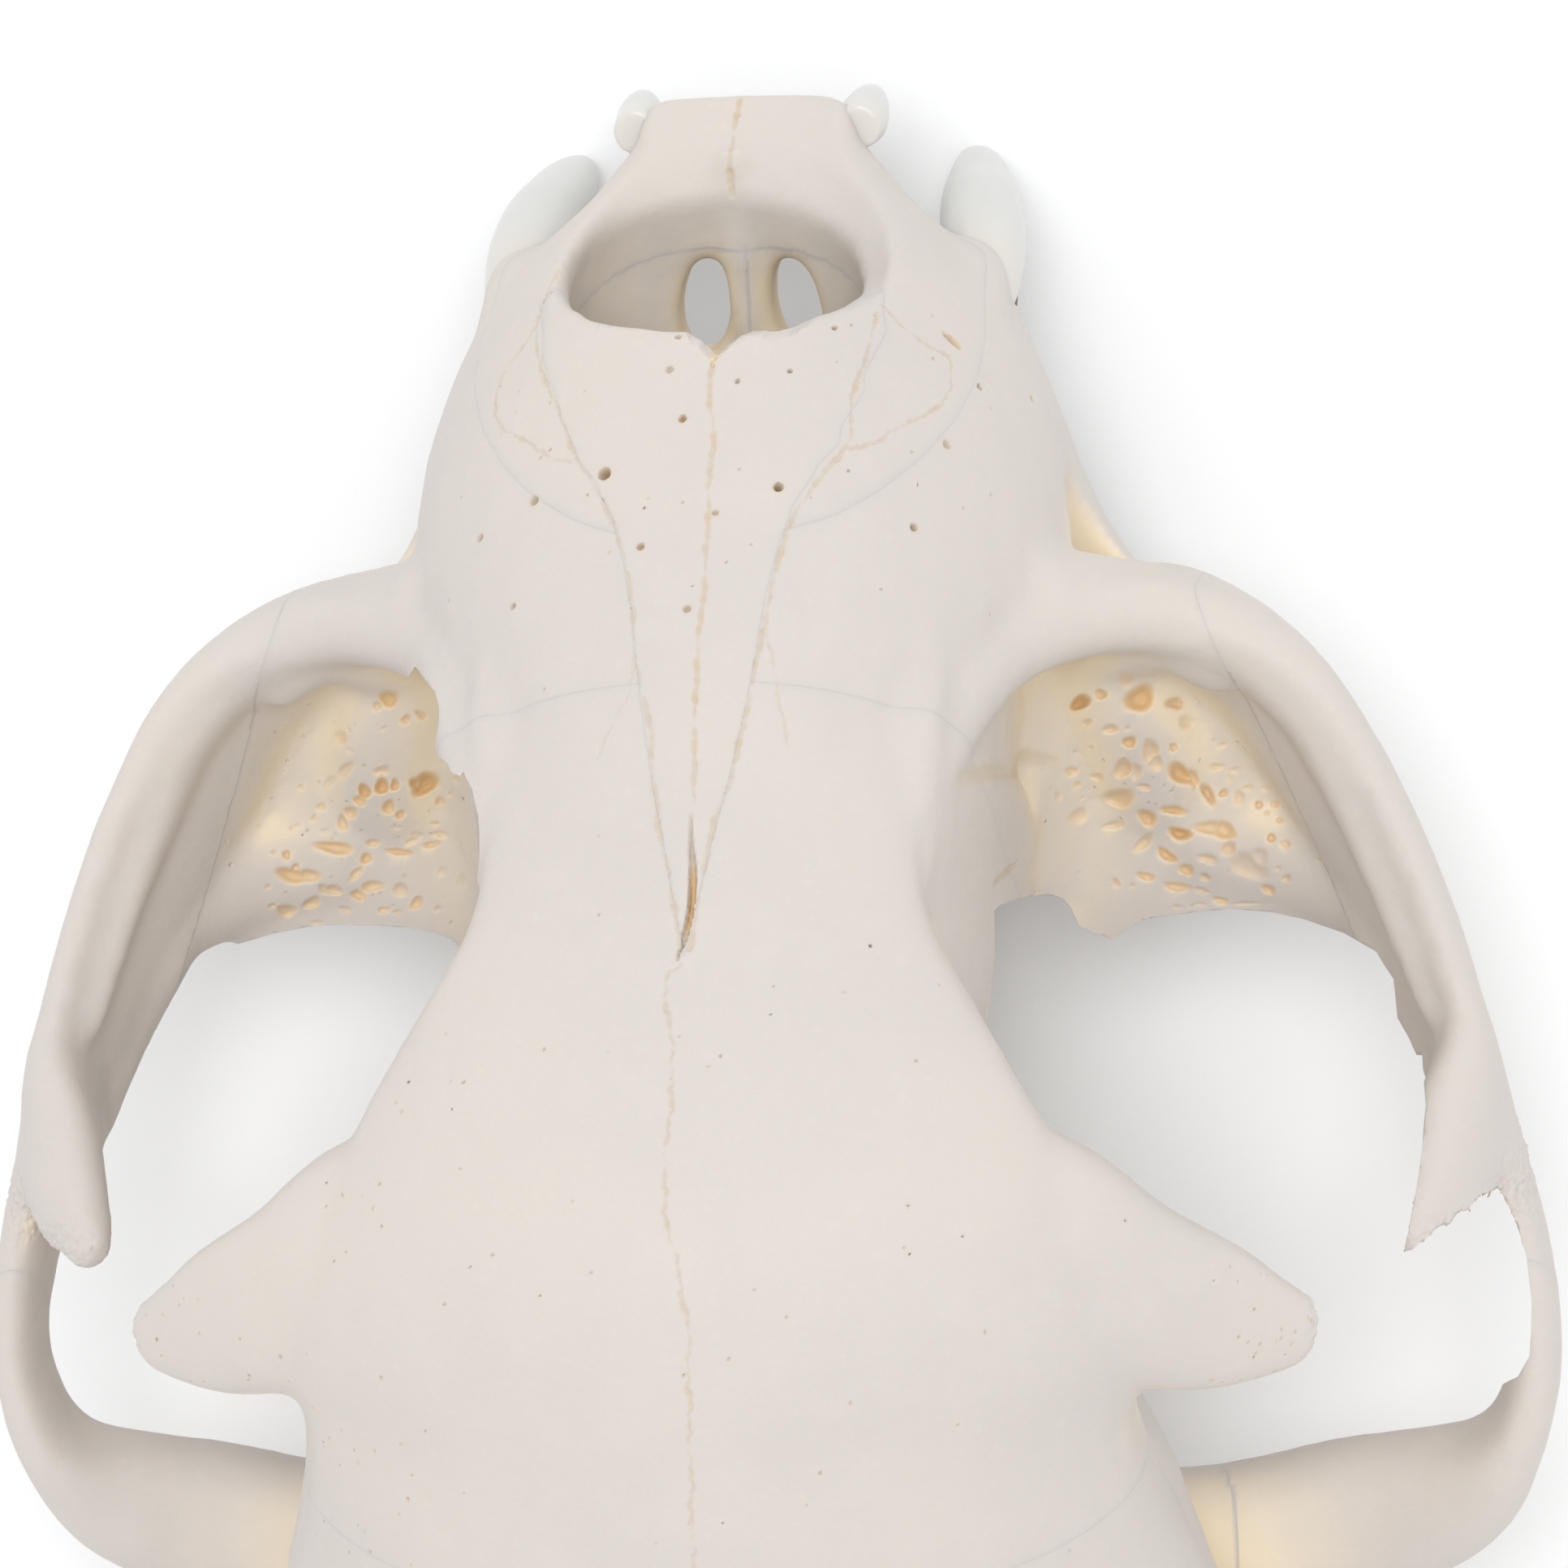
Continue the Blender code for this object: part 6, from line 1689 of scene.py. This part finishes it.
class SKULL_OT_stage(bpy.types.Operator):
    """Lay the pale floor, hang the soft light and set up the camera"""

    bl_idname = "skull.stage"
    bl_label = "Stage"

    def execute(self, context):
        scene = context.scene
        look = scene.skull_stage
        bm = bmesh.new()
        bmesh.ops.create_grid(bm, x_segments=1, y_segments=1, size=FLOOR_HALF)
        floor = object_from_bmesh("floor", bm)
        floor.data.materials.append(floor_material(look))
        lamp = bpy.data.lights.new("key light", "AREA")
        lamp.shape = "DISK"
        lamp.size = LIGHT_SIZE
        lamp.energy = look.key_light
        key = bpy.data.objects.new("key light", lamp)
        key.location = LIGHT_PLACE
        key.rotation_euler = (Vector(LIGHT_AIM) - key.location).to_track_quat("-Z", "Y").to_euler()
        scene.collection.objects.link(key)
        world = bpy.data.worlds.new("pale room")
        world.use_nodes = True
        sky = world.node_tree.nodes["Background"]
        set_constants(sky, {"Color": (1.0, 1.0, 1.0, 1.0), "Strength": look.fill_light})
        scene.world = world
        eye = bpy.data.cameras.new("camera")
        eye.lens = look.lens
        eye.sensor_width = 36.0
        eye.clip_start = 0.01
        eye.clip_end = 20.0
        camera = bpy.data.objects.new("camera", eye)
        camera.matrix_world = camera_matrix()
        scene.collection.objects.link(camera)
        scene.camera = camera
        scene.view_settings.view_transform = "Standard"
        return {"FINISHED"}


class SKULL_PT_panel(bpy.types.Panel):
    """Lists what makes the skull, and the sizes and colours it uses"""

    bl_idname = "SKULL_PT_panel"
    bl_label = "Cat skull"
    bl_space_type = "VIEW_3D"
    bl_region_type = "UI"
    bl_category = "Skull"

    def draw(self, context):
        for operator in OPERATORS:
            self.layout.operator(operator.bl_idname)
        for name, group in GROUPS.items():
            box = self.layout.box()
            box.label(text=group.__doc__)
            for label in group.__annotations__:
                box.prop(getattr(context.scene, name), label)


OPERATORS = (SKULL_OT_bones, SKULL_OT_canines, SKULL_OT_incisors, SKULL_OT_cheek_teeth, SKULL_OT_stage)
GROUPS = {
    "skull_bone": BoneSizes,
    "skull_teeth": ToothSizes,
    "skull_finish": SkullFinish,
    "skull_stage": StageLook,
}
CLASSES = (*GROUPS.values(), *OPERATORS, SKULL_PT_panel)


def register():
    for made in CLASSES:
        bpy.utils.register_class(made)
    for name, group in GROUPS.items():
        setattr(bpy.types.Scene, name, PointerProperty(type=group))


def unregister():
    for name in GROUPS:
        delattr(bpy.types.Scene, name)
    for made in reversed(CLASSES):
        bpy.utils.unregister_class(made)


def main():
    register()
    bpy.ops.skull.bones()
    bpy.ops.skull.canines()
    bpy.ops.skull.incisors()
    bpy.ops.skull.cheek_teeth()
    bpy.ops.skull.stage()


if __name__ == "__main__":
    main()
